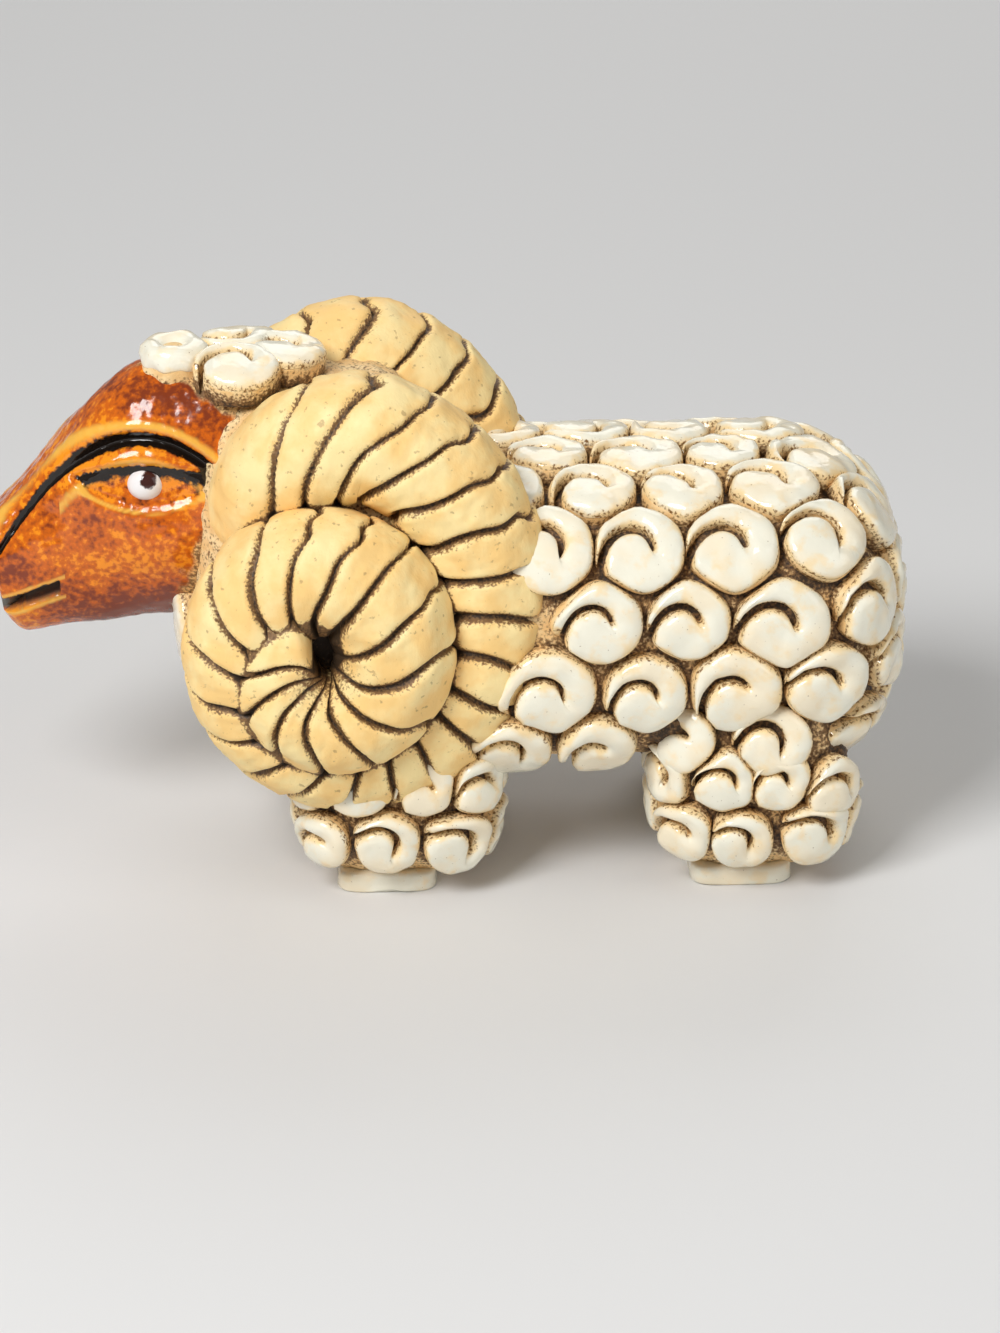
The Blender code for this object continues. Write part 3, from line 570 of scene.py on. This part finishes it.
enamel_finish = cream_enamel()
fleece("curl_clay", curls, clay_finish, 0.0, WALL_OFFSETS, WALL_LEVELS, CURL_HEIGHT, 0.0)
fleece("curl_enamel", curls, enamel_finish, ENAMEL_MARGIN, MENISCUS_OFFSETS, MENISCUS_LEVELS,
       ENAMEL_RISE, CURL_HEIGHT - 0.05)

# Foot plates. Four flat slabs of the same clay under the legs, dipped in the cream enamel of the fleece.

FOOT_LENGTH, FOOT_WIDTH, FOOT_HEIGHT, FOOT_SQUARENESS, FOOT_FORWARD = 12.0, 11.0, 2.6, 5.0, 1.4
FOOT_POINTS, FOOT_WAVES = 96, ((5.0, 11, 0.18),)
FOOT_INSETS = np.array([0.35, 0.10, 0.0, 0.0, 0.0, 0.12, 0.45])
FOOT_LEVELS = np.array([0.0, 0.08, 0.3, 1.2, FOOT_HEIGHT - 0.6, FOOT_HEIGHT - 0.2, FOOT_HEIGHT])


def foot_plate(name, x, y):
    """A slab: a superellipse outline carried up a section with softened edges, closed by flat caps."""
    angle = np.arange(FOOT_POINTS) * 2 * math.pi / FOOT_POINTS
    level = FOOT_LEVELS[:, None]
    along = (FOOT_LENGTH / 2 - FOOT_INSETS)[:, None] * signed_power(np.cos(angle), 2 / FOOT_SQUARENESS)
    across = (FOOT_WIDTH / 2 - FOOT_INSETS)[:, None] * signed_power(np.sin(angle), 2 / FOOT_SQUARENESS)
    points = np.stack([x + along, y + across, np.broadcast_to(level, along.shape)], axis=-1)
    swell = unevenness(points, FOOT_WAVES) * (level > 0.1)
    points[..., 0] += swell * np.cos(angle)
    points[..., 1] += swell * np.sin(angle)
    grid = (len(FOOT_LEVELS), FOOT_POINTS)
    wash = np.broadcast_to((level < 0.2) * 0.5, along.shape)
    piece = skin_piece(name, points, quads(*grid, True), enamel_finish, {"wash": wash}, end_caps(*grid))


for number, leg in enumerate(legs):
    foot_plate(f"foot_plate_{number}", leg.centre[0] - FOOT_FORWARD, leg.centre[1])

# Head. Carved from the same lump, with a deep cut for the brow, two for the lids and a slot for the mouth.
# A runny glaze covers it: amber where it drew thin over edges, red-brown where it pooled, black in the brow.

NOSE_X, HEAD_LENGTH, HEAD_WIDTH, MUZZLE_WIDTH = -56.2, 36.0, 17.5, 9.5
MUZZLE_TOP_Z, FOREHEAD_TOP_Z, CHIN_Z, THROAT_Z = 41.0, 61.5, 27.0, 31.6
NOSE_ROUNDING, HEAD_SQUARENESS, FOREHEAD_LENGTH = 4.0, 2.3, 24.8
BROW = ((-51.2, 38.4), (-36.8, 63.1), (-24.2, 50.3))
UPPER_LID = ((-41.0, 49.6), (-34.0, 53.2), (-24.2, 50.0))
LOWER_LID = ((-41.0, 49.6), (-32.6, 43.6), (-24.2, 50.0))
MOUTH_CORNER = (-43.2, 35.75)
MOUTH_HEIGHT, MOUTH_SLOPE, LOWER_JAW_TIP_X, JAW_ROUNDING, JAW_LIFT = 1.7, 22.6, -50.4, 3.2, 3.6
MOUTH_DEPTH, BROW_WIDTH, BROW_DEPTH, LID_WIDTH, LID_DEPTH, SOCKET_DEPTH = 2.6, 0.70, 1.3, 0.42, 0.75, 0.85
BROW_FADE_SHARES, BROW_FADES = [0, 0.25, 0.5, 0.85, 1.0], [0.38, 0.5, 1.0, 1.0, 0.8]
CHEEK, HOLLOW, CHIN_POOL = (-31, 41, 6, 4.5, 0.9), (-44, 44, 4, 3, 0.4), (-49, 38, 3.5, 2.6, 0.55)
HEAD_WAVES, EDGE_WAVES = ((7.0, 21, 0.12), (2.0, 22, 0.03)), ((2.5, 23, 0.7),)
GLAZE_SIDE_Z, GLAZE_SIDE_X = [30, 34, 39, 45.6, 50, 55], [-30.2, -29.2, -28, -24.9, -22.7, -20.3]
GLAZE_TOP_Y, GLAZE_TOP_X, GLAZE_TOP_Z = [0, 4, 8], [-34.0, -28.0, -21.5], 55
GLAZE_AMBER = (0.90, 0.29, 0.010, 1.0)
GLAZE_ORANGE = (0.62, 0.125, 0.005, 1.0)
GLAZE_RED = (0.22, 0.036, 0.008, 1.0)
GLAZE_YELLOW = (0.86, 0.46, 0.07, 1.0)
GLAZE_BLACK = (0.010, 0.006, 0.004, 1.0)
# Painted shade: the grey that stands for the shade inside the mouth slot.
MOUTH_SHADE_GREY = (0.10, 0.09, 0.075, 1.0)


def bow(start, crest, end):
    """Eighty points of the curve that leaves start towards crest and arrives at end from crest."""
    start, crest, end = np.array(start), np.array(crest), np.array(end)
    share = np.linspace(0, 1, 80)[:, None]
    return (1 - share) ** 2 * start + 2 * share * (1 - share) * crest + share ** 2 * end


def from_line(x, z, line):
    """Distance in the upright plane to a line, its side, plus above, and the nearest point's share along."""
    best, sign, share = np.full(x.shape, FAR), np.ones(x.shape), np.zeros(x.shape)
    for number in range(len(line) - 1):
        start, step = line[number], line[number + 1] - line[number]
        along = np.clip(((x - start[0]) * step[0] + (z - start[1]) * step[1]) / (step @ step), 0, 1)
        off_x, off_z = x - start[0] - along * step[0], z - start[1] - along * step[1]
        away = np.hypot(off_x, off_z)
        closer = away < best
        best = np.where(closer, away, best)
        sign = np.where(closer, np.sign(off_z * step[0] - off_x * step[1]), sign)
        share = np.where(closer, (number + along) / (len(line) - 1), share)
    return best, sign, share


def patch(x, z, place):
    """A soft round patch in the upright plane: place gives its middle, its two spreads and its height."""
    middle_x, middle_z, spread_x, spread_z, height = place
    return bell(x, middle_x, spread_x) * bell(z, middle_z, spread_z) * height


def head_levels(x):
    """Lowest and highest level and half width of the head at x, by a smooth rise from muzzle to forehead."""
    back = ramp(x, NOSE_X, HEAD_LENGTH)
    rise = ramp(x, NOSE_X, FOREHEAD_LENGTH)
    top = MUZZLE_TOP_Z + (FOREHEAD_TOP_Z - MUZZLE_TOP_Z) * rise ** 2 * (3 - 2 * rise)
    from_tip = ramp(x, LOWER_JAW_TIP_X, JAW_ROUNDING)
    bottom = CHIN_Z + (THROAT_Z - CHIN_Z) * back + JAW_LIFT * (1 - from_tip) ** 2
    slope = math.tan(math.radians(MOUTH_SLOPE))
    lip = MOUTH_CORNER[1] + MOUTH_HEIGHT / 2 - slope * (MOUTH_CORNER[0] - x)
    ahead_of_jaw = ramp(x, LOWER_JAW_TIP_X + 0.25, -0.5)
    bottom = bottom + (np.maximum(lip, bottom) - bottom) * ahead_of_jaw
    half = (MUZZLE_WIDTH + (HEAD_WIDTH - MUZZLE_WIDTH) * np.sin(back * math.pi / 2)) / 2
    return bottom, top, half


def build_head():
    """Oval sections along X, pushed in and out by bells of each point's distance from the carved lines."""
    along, around = int(300 * grid_share), int(260 * grid_share)
    ease = np.linspace(0, 1, along)
    x = NOSE_X + 0.02 + HEAD_LENGTH * (ease ** 1.25)
    bottom, top, half = head_levels(x)
    inset = ramp(x, NOSE_X, NOSE_ROUNDING)
    share = np.sqrt(1 - (1 - inset) ** 2)
    angle = np.arange(around) * 2 * math.pi / around
    across = half[:, None] * share[:, None] * signed_power(np.cos(angle), 2 / HEAD_SQUARENESS)
    up = (top - bottom)[:, None] / 2 * share[:, None] * signed_power(np.sin(angle), 2 / HEAD_SQUARENESS)
    level = (top + bottom)[:, None] / 2 + up
    points = np.stack([np.broadcast_to(x[:, None], across.shape), across, level], axis=-1)
    normals = np.cross(np.gradient(points, axis=1), np.gradient(points, axis=0))
    normals = normals / np.maximum(np.linalg.norm(normals, axis=-1, keepdims=True), 1e-9)
    facing = ramp(np.abs(normals[..., 1]), 0.12, 0.25)
    px, pz = points[..., 0], points[..., 2]
    brow, brow_side, brow_share = from_line(px, pz, bow(*BROW))
    upper, upper_side, lid_share = from_line(px, pz, bow(*UPPER_LID))
    lower, lower_side = from_line(px, pz, bow(*LOWER_LID))[:2]
    above = brow * brow_side
    fade = np.interp(brow_share, BROW_FADE_SHARES, BROW_FADES)
    groove = bell(brow, 0, BROW_WIDTH * fade) * BROW_DEPTH * fade
    lip_of_brow = bell(above, 1.3, 1.1) * 0.50
    lid_roll = bell(above, -2.3, 1.1) * 0.55 * ramp(px, -43, 4)
    in_eye = (upper_side < 0) & (lower_side > 0)
    nearest_lid = np.minimum(upper, lower)
    lids = bell(nearest_lid, 0, LID_WIDTH) * LID_DEPTH
    socket = np.where(in_eye, ramp(nearest_lid, 0, 0.9), 0) * SOCKET_DEPTH
    slope = math.tan(math.radians(MOUTH_SLOPE))
    mouth_line = MOUTH_CORNER[1] - slope * (MOUTH_CORNER[0] - px)
    off_mouth = np.abs(pz - mouth_line) / (MOUTH_HEIGHT / 2)
    slot = ramp(off_mouth, 1.25, -0.3) * ramp(px, MOUTH_CORNER[0], -0.25) * MOUTH_DEPTH
    slot = slot * ramp(px, LOWER_JAW_TIP_X - 0.6, 0.3)
    raised = lip_of_brow + lid_roll + patch(px, pz, CHEEK)
    cut = groove + lids + socket + patch(px, pz, HOLLOW) + slot
    push = facing * (raised - cut) + unevenness(points, HEAD_WAVES)
    push[0] = 0
    points = points + normals * push[..., None]
    points[0] = points[0].mean(axis=0)
    black = bell(brow, 0, 0.90 * fade) * 1.3
    black = facing * np.clip(black + np.where(in_eye, 0.35 + bell(upper, 0, 1.4) * 0.6, lids * 0.75), 0, 1)
    thin = bell(above, 1.5, 0.65) * 0.9 + bell(above, -2.5, 0.8) * 0.75 * (px > -43)
    thin = thin + bell(lower, 0.75, 0.35) * 0.9 * ((lower_side < 0) & (px > -40.6))
    thin = facing * (thin + bell(off_mouth, 1.6, 0.5) * (px < MOUTH_CORNER[0] + 0.6) * 0.8)
    side_edge = np.interp(pz, GLAZE_SIDE_Z, GLAZE_SIDE_X)
    top_edge = np.interp(np.abs(points[..., 1]), GLAZE_TOP_Y, GLAZE_TOP_X)
    edge = side_edge + (np.minimum(top_edge, side_edge) - side_edge) * ramp(pz, GLAZE_TOP_Z, 3)
    pool = ramp(above, 1.6, 3.0) * 0.42 + ramp(pz, 39, -6) * 0.85 * ramp(px, -46, 9)
    pool = pool + patch(px, pz, CHIN_POOL)
    bare = ramp(px - edge + unevenness(points, EDGE_WAVES), -0.6, 1.2)
    # The mouth layer grows with the slot's depth and marks where painted shade turns the inside of the mouth
    # grey.
    thin, mouth = np.clip(thin, 0, 1), ramp(slot, 0, 1.6)
    layers = {"black": black, "thin": thin, "pool": pool, "mouth": mouth, "bare": bare}
    grid = (along, around)
    piece = skin_piece("head_glaze", points, quads(*grid, True), head_glaze(), layers, end_caps(*grid)[1:])


def head_glaze():
    """Runny glossy glaze: mottled amber, orange and red-brown, yellow where thin, black in the cuts and grey
    painted shade deep in the mouth slot.
    """
    paint = Paint("brown_glaze", 0.12)
    cloud = paint.noise(120, 5.0, seed=1.0)
    mottle = paint.noise(1300, 6.0, seed=2.0)
    amount = paint.maths("ADD", paint.maths("MULTIPLY", paint.layer("pool"), 0.55), cloud)
    amount = paint.broken(amount, mottle, 1.1)
    colour = paint.blend(paint.steep(amount, 0.36, 0.56), GLAZE_AMBER, GLAZE_ORANGE)
    colour = paint.blend(paint.steep(amount, 0.54, 0.88), colour, GLAZE_RED)
    edge = paint.broken(paint.layer("thin"), mottle, 0.7)
    colour = paint.blend(paint.steep(edge, 0.25, 0.95), colour, GLAZE_YELLOW)
    soot = paint.broken(paint.layer("black"), mottle, 0.9)
    colour = paint.blend(paint.steep(soot, 0.40, 0.70), colour, GLAZE_BLACK)
    # Painted shade: grey inside the mouth slot, greyer where the slot is deeper.
    colour = paint.blend(paint.layer("mouth"), colour, MOUTH_SHADE_GREY)
    speckle = paint.noise(2600, 6.0, seed=6.0)
    bare = paint.blend(paint.steep(speckle, 0.42, 0.62), WASH_BROWN, CLAY_TAN)
    colour = paint.blend(paint.layer("bare"), colour, bare)
    rough = paint.maths("ADD", paint.maths("MULTIPLY", paint.layer("bare"), 0.5), 0.13)
    scratch = paint.noise(500, 2.0, stretch=(0.25, 1, 1.6), seed=8.0)
    normal = paint.bump(cloud, 0.35, 1.2, paint.bump(scratch, 0.15, 0.10))
    return paint.finished(colour, normal, rough)


build_head()

# Eyes. A small ball of white enamel sits in each lid cut, with a dark brush dab for the pupil high on it.

EYE_X, EYE_Z, EYE_RADIUS, EYE_Y, EYE_GRID = -32.7, 48.9, 2.25, 6.4, (30, 48)
PUPIL_X, PUPIL_Z, PUPIL_RADIUS = 0.3, 1.0, 1.9
EYE_WHITE = (0.86, 0.84, 0.84, 1.0)
PUPIL_BROWN = (0.05, 0.015, 0.012, 1.0)


def eye_enamel():
    """White enamel with a dark pupil by the layer pupil, its edge smeared by noise."""
    paint = Paint("eye_enamel", 0.07)
    dab = paint.broken(paint.layer("pupil"), paint.noise(1500, 3.0), 0.5)
    colour = paint.blend(paint.steep(dab, 0.42, 0.58), EYE_WHITE, PUPIL_BROWN)
    return paint.finished(colour, paint.bump(paint.noise(900, 2.0, seed=3.0), 0.15, 0.2))


def build_eye(name, side, finish):
    """A ball pressed a little flat, by its turn about Y and its tilt from Y; pupil falls off from the dab."""
    turns = np.linspace(0, 2 * math.pi, EYE_GRID[1], endpoint=False)
    turn, tilt = np.meshgrid(turns, np.linspace(0.02, math.pi - 0.02, EYE_GRID[0]), indexing="xy")
    x = EYE_X + EYE_RADIUS * np.cos(turn) * np.sin(tilt)
    y = side * EYE_Y + side * EYE_RADIUS * 0.8 * np.cos(tilt)
    z = EYE_Z + EYE_RADIUS * 0.92 * np.sin(turn) * np.sin(tilt)
    pupil = 1 - np.hypot(x - EYE_X - PUPIL_X, z - EYE_Z - PUPIL_Z) / PUPIL_RADIUS
    cells, caps = quads(*EYE_GRID, True), end_caps(*EYE_GRID)
    if side < 0:
        cells, caps = cells[:, ::-1], [reversed(cap) for cap in caps]
    layers = {"pupil": np.clip(pupil, 0, 1)}
    piece = skin_piece(name, np.stack([x, y, z], axis=-1), cells, finish, layers, caps)


eye_finish = eye_enamel()
build_eye("eye_right", -1, eye_finish)
build_eye("eye_left", 1, eye_finish)

# Horns. Two ribbed tubes rolled outwards into low cones, pressed on the sides of the head. Each rib line is
# cut by a blade and stained dark. They stay matte: bare yellow-tan clay, scraped along the ribs.

HORN_TIGHTENING, HORN_QUARTERS, HORN_ROOT_QUARTERS, HORN_END_QUARTERS = 0.13, 7.85, 0.65, 0.22
HORN_ROOT_DRAW, HORN_ROOT_SINK, HORN_ROOT_SPACING = 9.5, 6.0, 24.0
HORN_FILL, FILL_SOFTNESS, HORN_GRID = 0.49, 0.25, (900, 84)
HORN_FLARE, HORN_CROWN_QUARTERS, HORN_TOE, HORN_DROP = 9.6, 7.5, 0.45, 0.55
HORN_LONG, HORN_TALL = 0.95, 1.07
RIB_START, RIB_QUARTERS = -0.94, [-0.65, 0.3, 1.2, 2.2, 3.2, 4.2, 5.2, 6.4, 7.8]
RIBS_PER_QUARTER = [5.25, 5.64, 5.89, 5.51, 4.32, 2.85, 2.27, 2.62, 3.18]
LEAN_QUARTERS = [-0.65, -0.2, 0.2, 0.6, 1.0, 1.4, 3.2, 3.6, 4.0, 4.3, 4.6, 5.0, 5.4, 5.8, 6.2, 6.8, 7.5]
RIB_LEAN = [1.7, 1.35, 0.73, 0.14, 0.03, 0.03, 0.51, 0.82, 0.44,
            -0.07, -0.52, -0.6, -0.44, -0.62, -0.98, -1.1, -1.5]
RIB_CUT_DEPTH, RIB_CUT_WIDTH, RIB_SWELL, RIB_BOW, PLAIN_ROOT, PLAIN_END = 1.0, 0.42, 0.30, 0.15, 0.5, 32.5
CUT_STAIN, RIB_STAIN, RIB_STAIN_WIDTH = 0.90, 0.42, 0.90
EYE_STAIN, EYE_STAIN_RADIUS, SEAM_STAIN, SEAM_STAIN_WIDTH, SEAM_TURNS = 0.8, 2.2, 0.9, 0.28, 1.6
HORN_WAVES = ((5.0, 50, 0.12), (1.6, 51, 0.04))
HORN_YELLOW = (0.94, 0.62, 0.23, 1.0)
HORN_PALE = (0.97, 0.77, 0.37, 1.0)


def horn_path(quarter):
    """Middle of the tube and its radius after so many quarter turns.

    The spiral's reach shrinks by an even share each quarter; the tube keeps its size until it fills the coil.
    """
    reach = HORN_REACH * np.exp(-HORN_TIGHTENING * quarter)
    fills = np.exp(-HORN_TUBE / FILL_SOFTNESS) + np.exp(-reach * HORN_FILL / FILL_SOFTNESS)
    tube = -FILL_SOFTNESS * np.log(fills)
    draw = HORN_ROOT_DRAW * np.clip(-quarter / HORN_ROOT_QUARTERS + 0.15, 0, 1.2) ** 1.5
    radius = reach - tube - draw
    angle = math.pi / 2 * (1 - quarter)
    x = HORN_AXIS_X - HORN_TOE * quarter + radius * HORN_LONG * np.cos(angle)
    z = HORN_AXIS_Z - HORN_DROP * quarter + radius * HORN_TALL * np.sin(angle)
    y = HORN_ROOT_SPACING / 2 + HORN_FLARE * np.sin(math.pi / 2 * quarter / HORN_CROWN_QUARTERS)
    y = y - HORN_ROOT_SINK * np.clip(-quarter / HORN_ROOT_QUARTERS, 0, 1) ** 2
    return np.stack([x, y, z], axis=-1), tube


def build_horn(name, side, finish):
    """A circle carried along the path: its radius swells over each rib and drops in a cut between ribs."""
    fine_quarter = np.linspace(-HORN_ROOT_QUARTERS, HORN_QUARTERS, 2000)
    rate = np.interp(fine_quarter, RIB_QUARTERS, RIBS_PER_QUARTER)
    count = lengths_after((rate[1:] + rate[:-1]) / 2 * np.diff(fine_quarter))
    along, around = int(HORN_GRID[0] * grid_share), int(HORN_GRID[1] * grid_share)
    rib = np.linspace(RIB_START, RIB_START + count[-1], along)
    quarter = np.interp(rib - RIB_START, count, fine_quarter)
    middle, tube = horn_path(quarter)
    heading = horn_path(quarter + 0.02)[0] - middle
    heading = heading / np.linalg.norm(heading, axis=1)[:, None]
    outward = np.cross(heading, np.cross([0.0, 1.0, 0.0], heading))
    outward = outward / np.linalg.norm(outward, axis=1)[:, None]
    sideways = np.cross(heading, outward)
    angle = np.arange(around) * 2 * math.pi / around
    lead = np.interp(quarter, LEAN_QUARTERS, RIB_LEAN)[:, None]
    out_share, side_share = np.cos(angle)[None, :, None], np.sin(angle)[None, :, None]
    wobble = ripple(middle[:, None] + tube[:, None, None] * out_share * outward[:, None], 6.0, 40 + side)
    phase = rib[:, None] - lead * np.sin(angle) + RIB_BOW * np.cos(angle) + wobble * 0.07
    part = phase - np.floor(phase)
    axis = np.array([HORN_AXIS_X, HORN_AXIS_Z]) - quarter[:, None] * np.array([HORN_TOE, HORN_DROP])
    coil = np.linalg.norm(middle[:, [0, 2]] - axis, axis=1)[:, None] + tube[:, None] * np.sin(angle)
    pitch = np.gradient(quarter, rib)[:, None] * math.pi / 2 * np.maximum(coil, 0.8)
    from_cut = np.minimum(part, 1 - part) * pitch
    cut_width = np.minimum(RIB_CUT_WIDTH, pitch * 0.12)
    ribbed = ramp(phase, PLAIN_ROOT, 0.2) * ramp(phase, PLAIN_END, -0.2)
    cut = bell(from_cut, 0, cut_width) * ribbed
    deep = np.clip(pitch / 2.5, 0.15, 1)
    swell = np.abs(2 * part - 1) ** 6 * RIB_SWELL * ribbed
    radius = tube[:, None] - (cut * RIB_CUT_DEPTH + swell + 0.12 * part) * deep
    end = ramp(quarter, quarter[-1], -HORN_END_QUARTERS)[:, None]
    radius = radius * np.sqrt(1 - (1 - end) ** 2).clip(0.02)
    spoke = out_share * outward[:, None] + side_share * sideways[:, None]
    points = middle[:, None] + radius[..., None] * spoke
    uneven = unevenness(points, HORN_WAVES)[..., None]
    points = points + uneven * (points - middle[:, None]) / np.maximum(radius, 0.5)[..., None]
    wash = cut * CUT_STAIN + bell(from_cut, 0, RIB_STAIN_WIDTH) * RIB_STAIN * ribbed
    from_eye = np.hypot(points[..., 0] - axis[-1, 0], points[..., 2] - axis[-1, 1] - 2.0)
    wash = wash + bell(from_eye, 0, EYE_STAIN_RADIUS) * EYE_STAIN
    beside = np.full(wash.shape, FAR)
    for other in range(0, along, 9):
        elsewhere = np.abs(quarter - quarter[other]) > SEAM_TURNS
        away = np.linalg.norm(points[elsewhere] - middle[other], axis=-1) - tube[other]
        beside[elsewhere] = np.minimum(beside[elsewhere], away)
    wash = wash + bell(np.maximum(beside, 0), 0, SEAM_STAIN_WIDTH) * SEAM_STAIN
    points[..., 1] *= side
    cells, caps = quads(along, around, True), end_caps(along, around)
    if side < 0:
        cells, caps = cells[:, ::-1], [reversed(cap) for cap in caps]
    piece = skin_piece(name, points, cells, finish, {"wash": wash}, caps)


def horn_clay():
    """Scraped yellow clay: the layer wash stains the cuts, noise feathers the stain and specks the ribs."""
    paint = Paint("horn_clay", 0.58)
    cloud = paint.noise(230, 4.0, seed=1.0)
    speck = paint.noise(3000, 5.0, seed=2.0)
    amount = paint.broken(paint.layer("wash"), speck, 1.8)
    colour = paint.blend(paint.steep(cloud, 0.35, 0.68), HORN_YELLOW, HORN_PALE)
    fleck = paint.steep(paint.noise(1100, 5.0, seed=7.0), 0.64, 0.70)
    colour = paint.blend(paint.maths("MULTIPLY", fleck, 0.45), colour, WASH_BROWN)
    colour = paint.blend(paint.steep(amount, 0.34, 0.80), colour, WASH_BROWN)
    colour = paint.blend(paint.steep(amount, 0.86, 1.40), colour, WASH_DARK)
    scrape = paint.noise(1400, 3.0, stretch=(1, 1, 0.3), seed=4.0)
    normal = paint.bump(scrape, 0.35, 0.22, paint.bump(speck, 0.3, 0.08))
    return paint.finished(colour, normal)


horn_finish = horn_clay()
build_horn("horn_right", -1, horn_finish)
build_horn("horn_left", 1, horn_finish)

# Topknot. A round knob with a dimple over the forehead and three curls behind it, enamelled like the fleece.

KNOB_X = -29.2
KNOT_RADIUS, KNOT_HEIGHT, KNOT_SPACING, KNOT_REAR_SPACING = 4.6, 3.0, 7.6, 5.2
KNOB_POINTS = 72
KNOB_CLAY = [(4.1, -4.0, 0.9), (3.95, -0.5, 0.75), (3.9, 0.6, 0.2),
             (3.8, 2.2, 0.1), (3.4, 2.9, 0.1), (2.6, 3.0, 0.1)]
KNOB_ENAMEL = [(3.80, 1.0, 1.0), (3.98, 1.3, 0.6), (4.0, 2.2, 0.3), (3.8, 3.05, 0.1), (3.2, 3.6, 0.0),
               (2.4, 3.75, 0.0), (1.7, 3.6, 0.0), (1.15, 3.1, 0.2), (0.7, 2.7, 0.7), (0.3, 2.55, 0.9)]


def knob(name, finish, section):
    """A section of radius, level and wash turned about an upright line through the knob, slightly uneven."""
    angle = np.arange(KNOB_POINTS) * 2 * math.pi / KNOB_POINTS
    radii, levels, wash = np.array(section).T
    x = KNOB_X + radii[:, None] * np.cos(angle)
    y = radii[:, None] * np.sin(angle)
    z = np.broadcast_to(FOREHEAD_TOP_Z - 1.0 + levels[:, None], x.shape)
    points = np.stack([x, y, z], axis=-1)
    points = points + ripple(points, 4.0, 61)[..., None] * np.array([0.12, 0.12, 0.1])
    layers = {"wash": np.broadcast_to(wash[:, None], x.shape)}
    grid = (len(section), KNOB_POINTS)
    piece = skin_piece(name, points, quads(*grid, True), finish, layers, end_caps(*grid))


knob("knob_clay", clay_finish, KNOB_CLAY)
knob("knob_enamel", enamel_finish, KNOB_ENAMEL)
crown = Bar(-40.0, -2.0, 0, 40.0, FOREHEAD_TOP_Z - 0.1, 26.0, 18.9, 2.4)
knots = []
for back, across in ((0.0, -0.5), (0.0, 0.5), (KNOT_REAR_SPACING, 0.0)):
    above = np.array([[KNOB_X + KNOT_SPACING + back, across * KNOT_SPACING, FOREHEAD_TOP_Z]])
    knots.append((crown, crown.pressed(above)[0], KNOT_RADIUS))
fleece("knot_clay", knots, clay_finish, 0.0, WALL_OFFSETS, WALL_LEVELS * 1.2,
       KNOT_HEIGHT - 1.6, 0.2)
fleece("knot_enamel", knots, enamel_finish, ENAMEL_MARGIN, MENISCUS_OFFSETS, MENISCUS_LEVELS,
       ENAMEL_RISE, KNOT_HEIGHT - 1.3)

# Studio: a pale floor, three soft lights and the camera where the photograph was taken from.

FLOOR_REACH = 1.6
FLOOR_GREY = (0.74, 0.74, 0.74, 1)
FOCUS_PIXELS, PICTURE_HEIGHT, SENSOR_MM = 4500.0, 1333, 36
CAMERA_PITCH, CAMERA_YAW = math.radians(25.5), math.radians(2.5)
CAMERA_PLACE = Vector((-12.65, -488.4, 254.6)) * MM

floor_mesh = bpy.data.meshes.new("floor")
corners = [(x * FLOOR_REACH, y * FLOOR_REACH, 0) for x, y in ((-1, -1), (1, -1), (1, 1), (-1, 1))]
floor_mesh.from_pydata(corners, [], [(0, 1, 2, 3)])
floor = bpy.data.objects.new("floor", floor_mesh)
bpy.context.collection.objects.link(floor)
floor_paint = bpy.data.materials.new("pale_floor")
floor_paint.use_nodes = True
floor_shader = floor_paint.node_tree.nodes["Principled BSDF"]
floor_shader.inputs["Base Color"].default_value = FLOOR_GREY
floor_shader.inputs["Roughness"].default_value = 0.8
floor_mesh.materials.append(floor_paint)


def soft_light(name, place, size, power):
    """A square light that looks at the figure's middle."""
    lamp = bpy.data.lights.new(name, "AREA")
    lamp.size = size
    lamp.energy = power
    holder = bpy.data.objects.new(name, lamp)
    holder.location = place
    holder.rotation_euler = (Vector(place) - Vector((0, 0, 0.03))).to_track_quat("Z", "Y").to_euler()
    bpy.context.collection.objects.link(holder)


soft_light("key", (-0.30, -0.38, 0.50), 0.26, 3.7)
soft_light("fill", (0.55, -0.35, 0.35), 0.5, 1.1)
soft_light("back", (0.1, 0.6, 0.5), 0.5, 1.5)
world = bpy.data.worlds.new("studio")
world.use_nodes = True
world.node_tree.nodes["Background"].inputs["Color"].default_value = (1.0, 0.98, 0.94, 1)
world.node_tree.nodes["Background"].inputs["Strength"].default_value = 0.22
bpy.context.scene.world = world
bpy.context.scene.view_settings.view_transform = "Standard"

level = math.cos(CAMERA_PITCH)
ahead = Vector((math.sin(CAMERA_YAW) * level, math.cos(CAMERA_YAW) * level, -math.sin(CAMERA_PITCH)))
lens = bpy.data.cameras.new("camera")
lens.lens = SENSOR_MM * FOCUS_PIXELS / PICTURE_HEIGHT
lens.clip_start = 0.02
camera = bpy.data.objects.new("camera", lens)
camera.location = CAMERA_PLACE
camera.rotation_euler = ahead.to_track_quat("-Z", "Y").to_euler()
bpy.context.collection.objects.link(camera)
bpy.context.scene.camera = camera
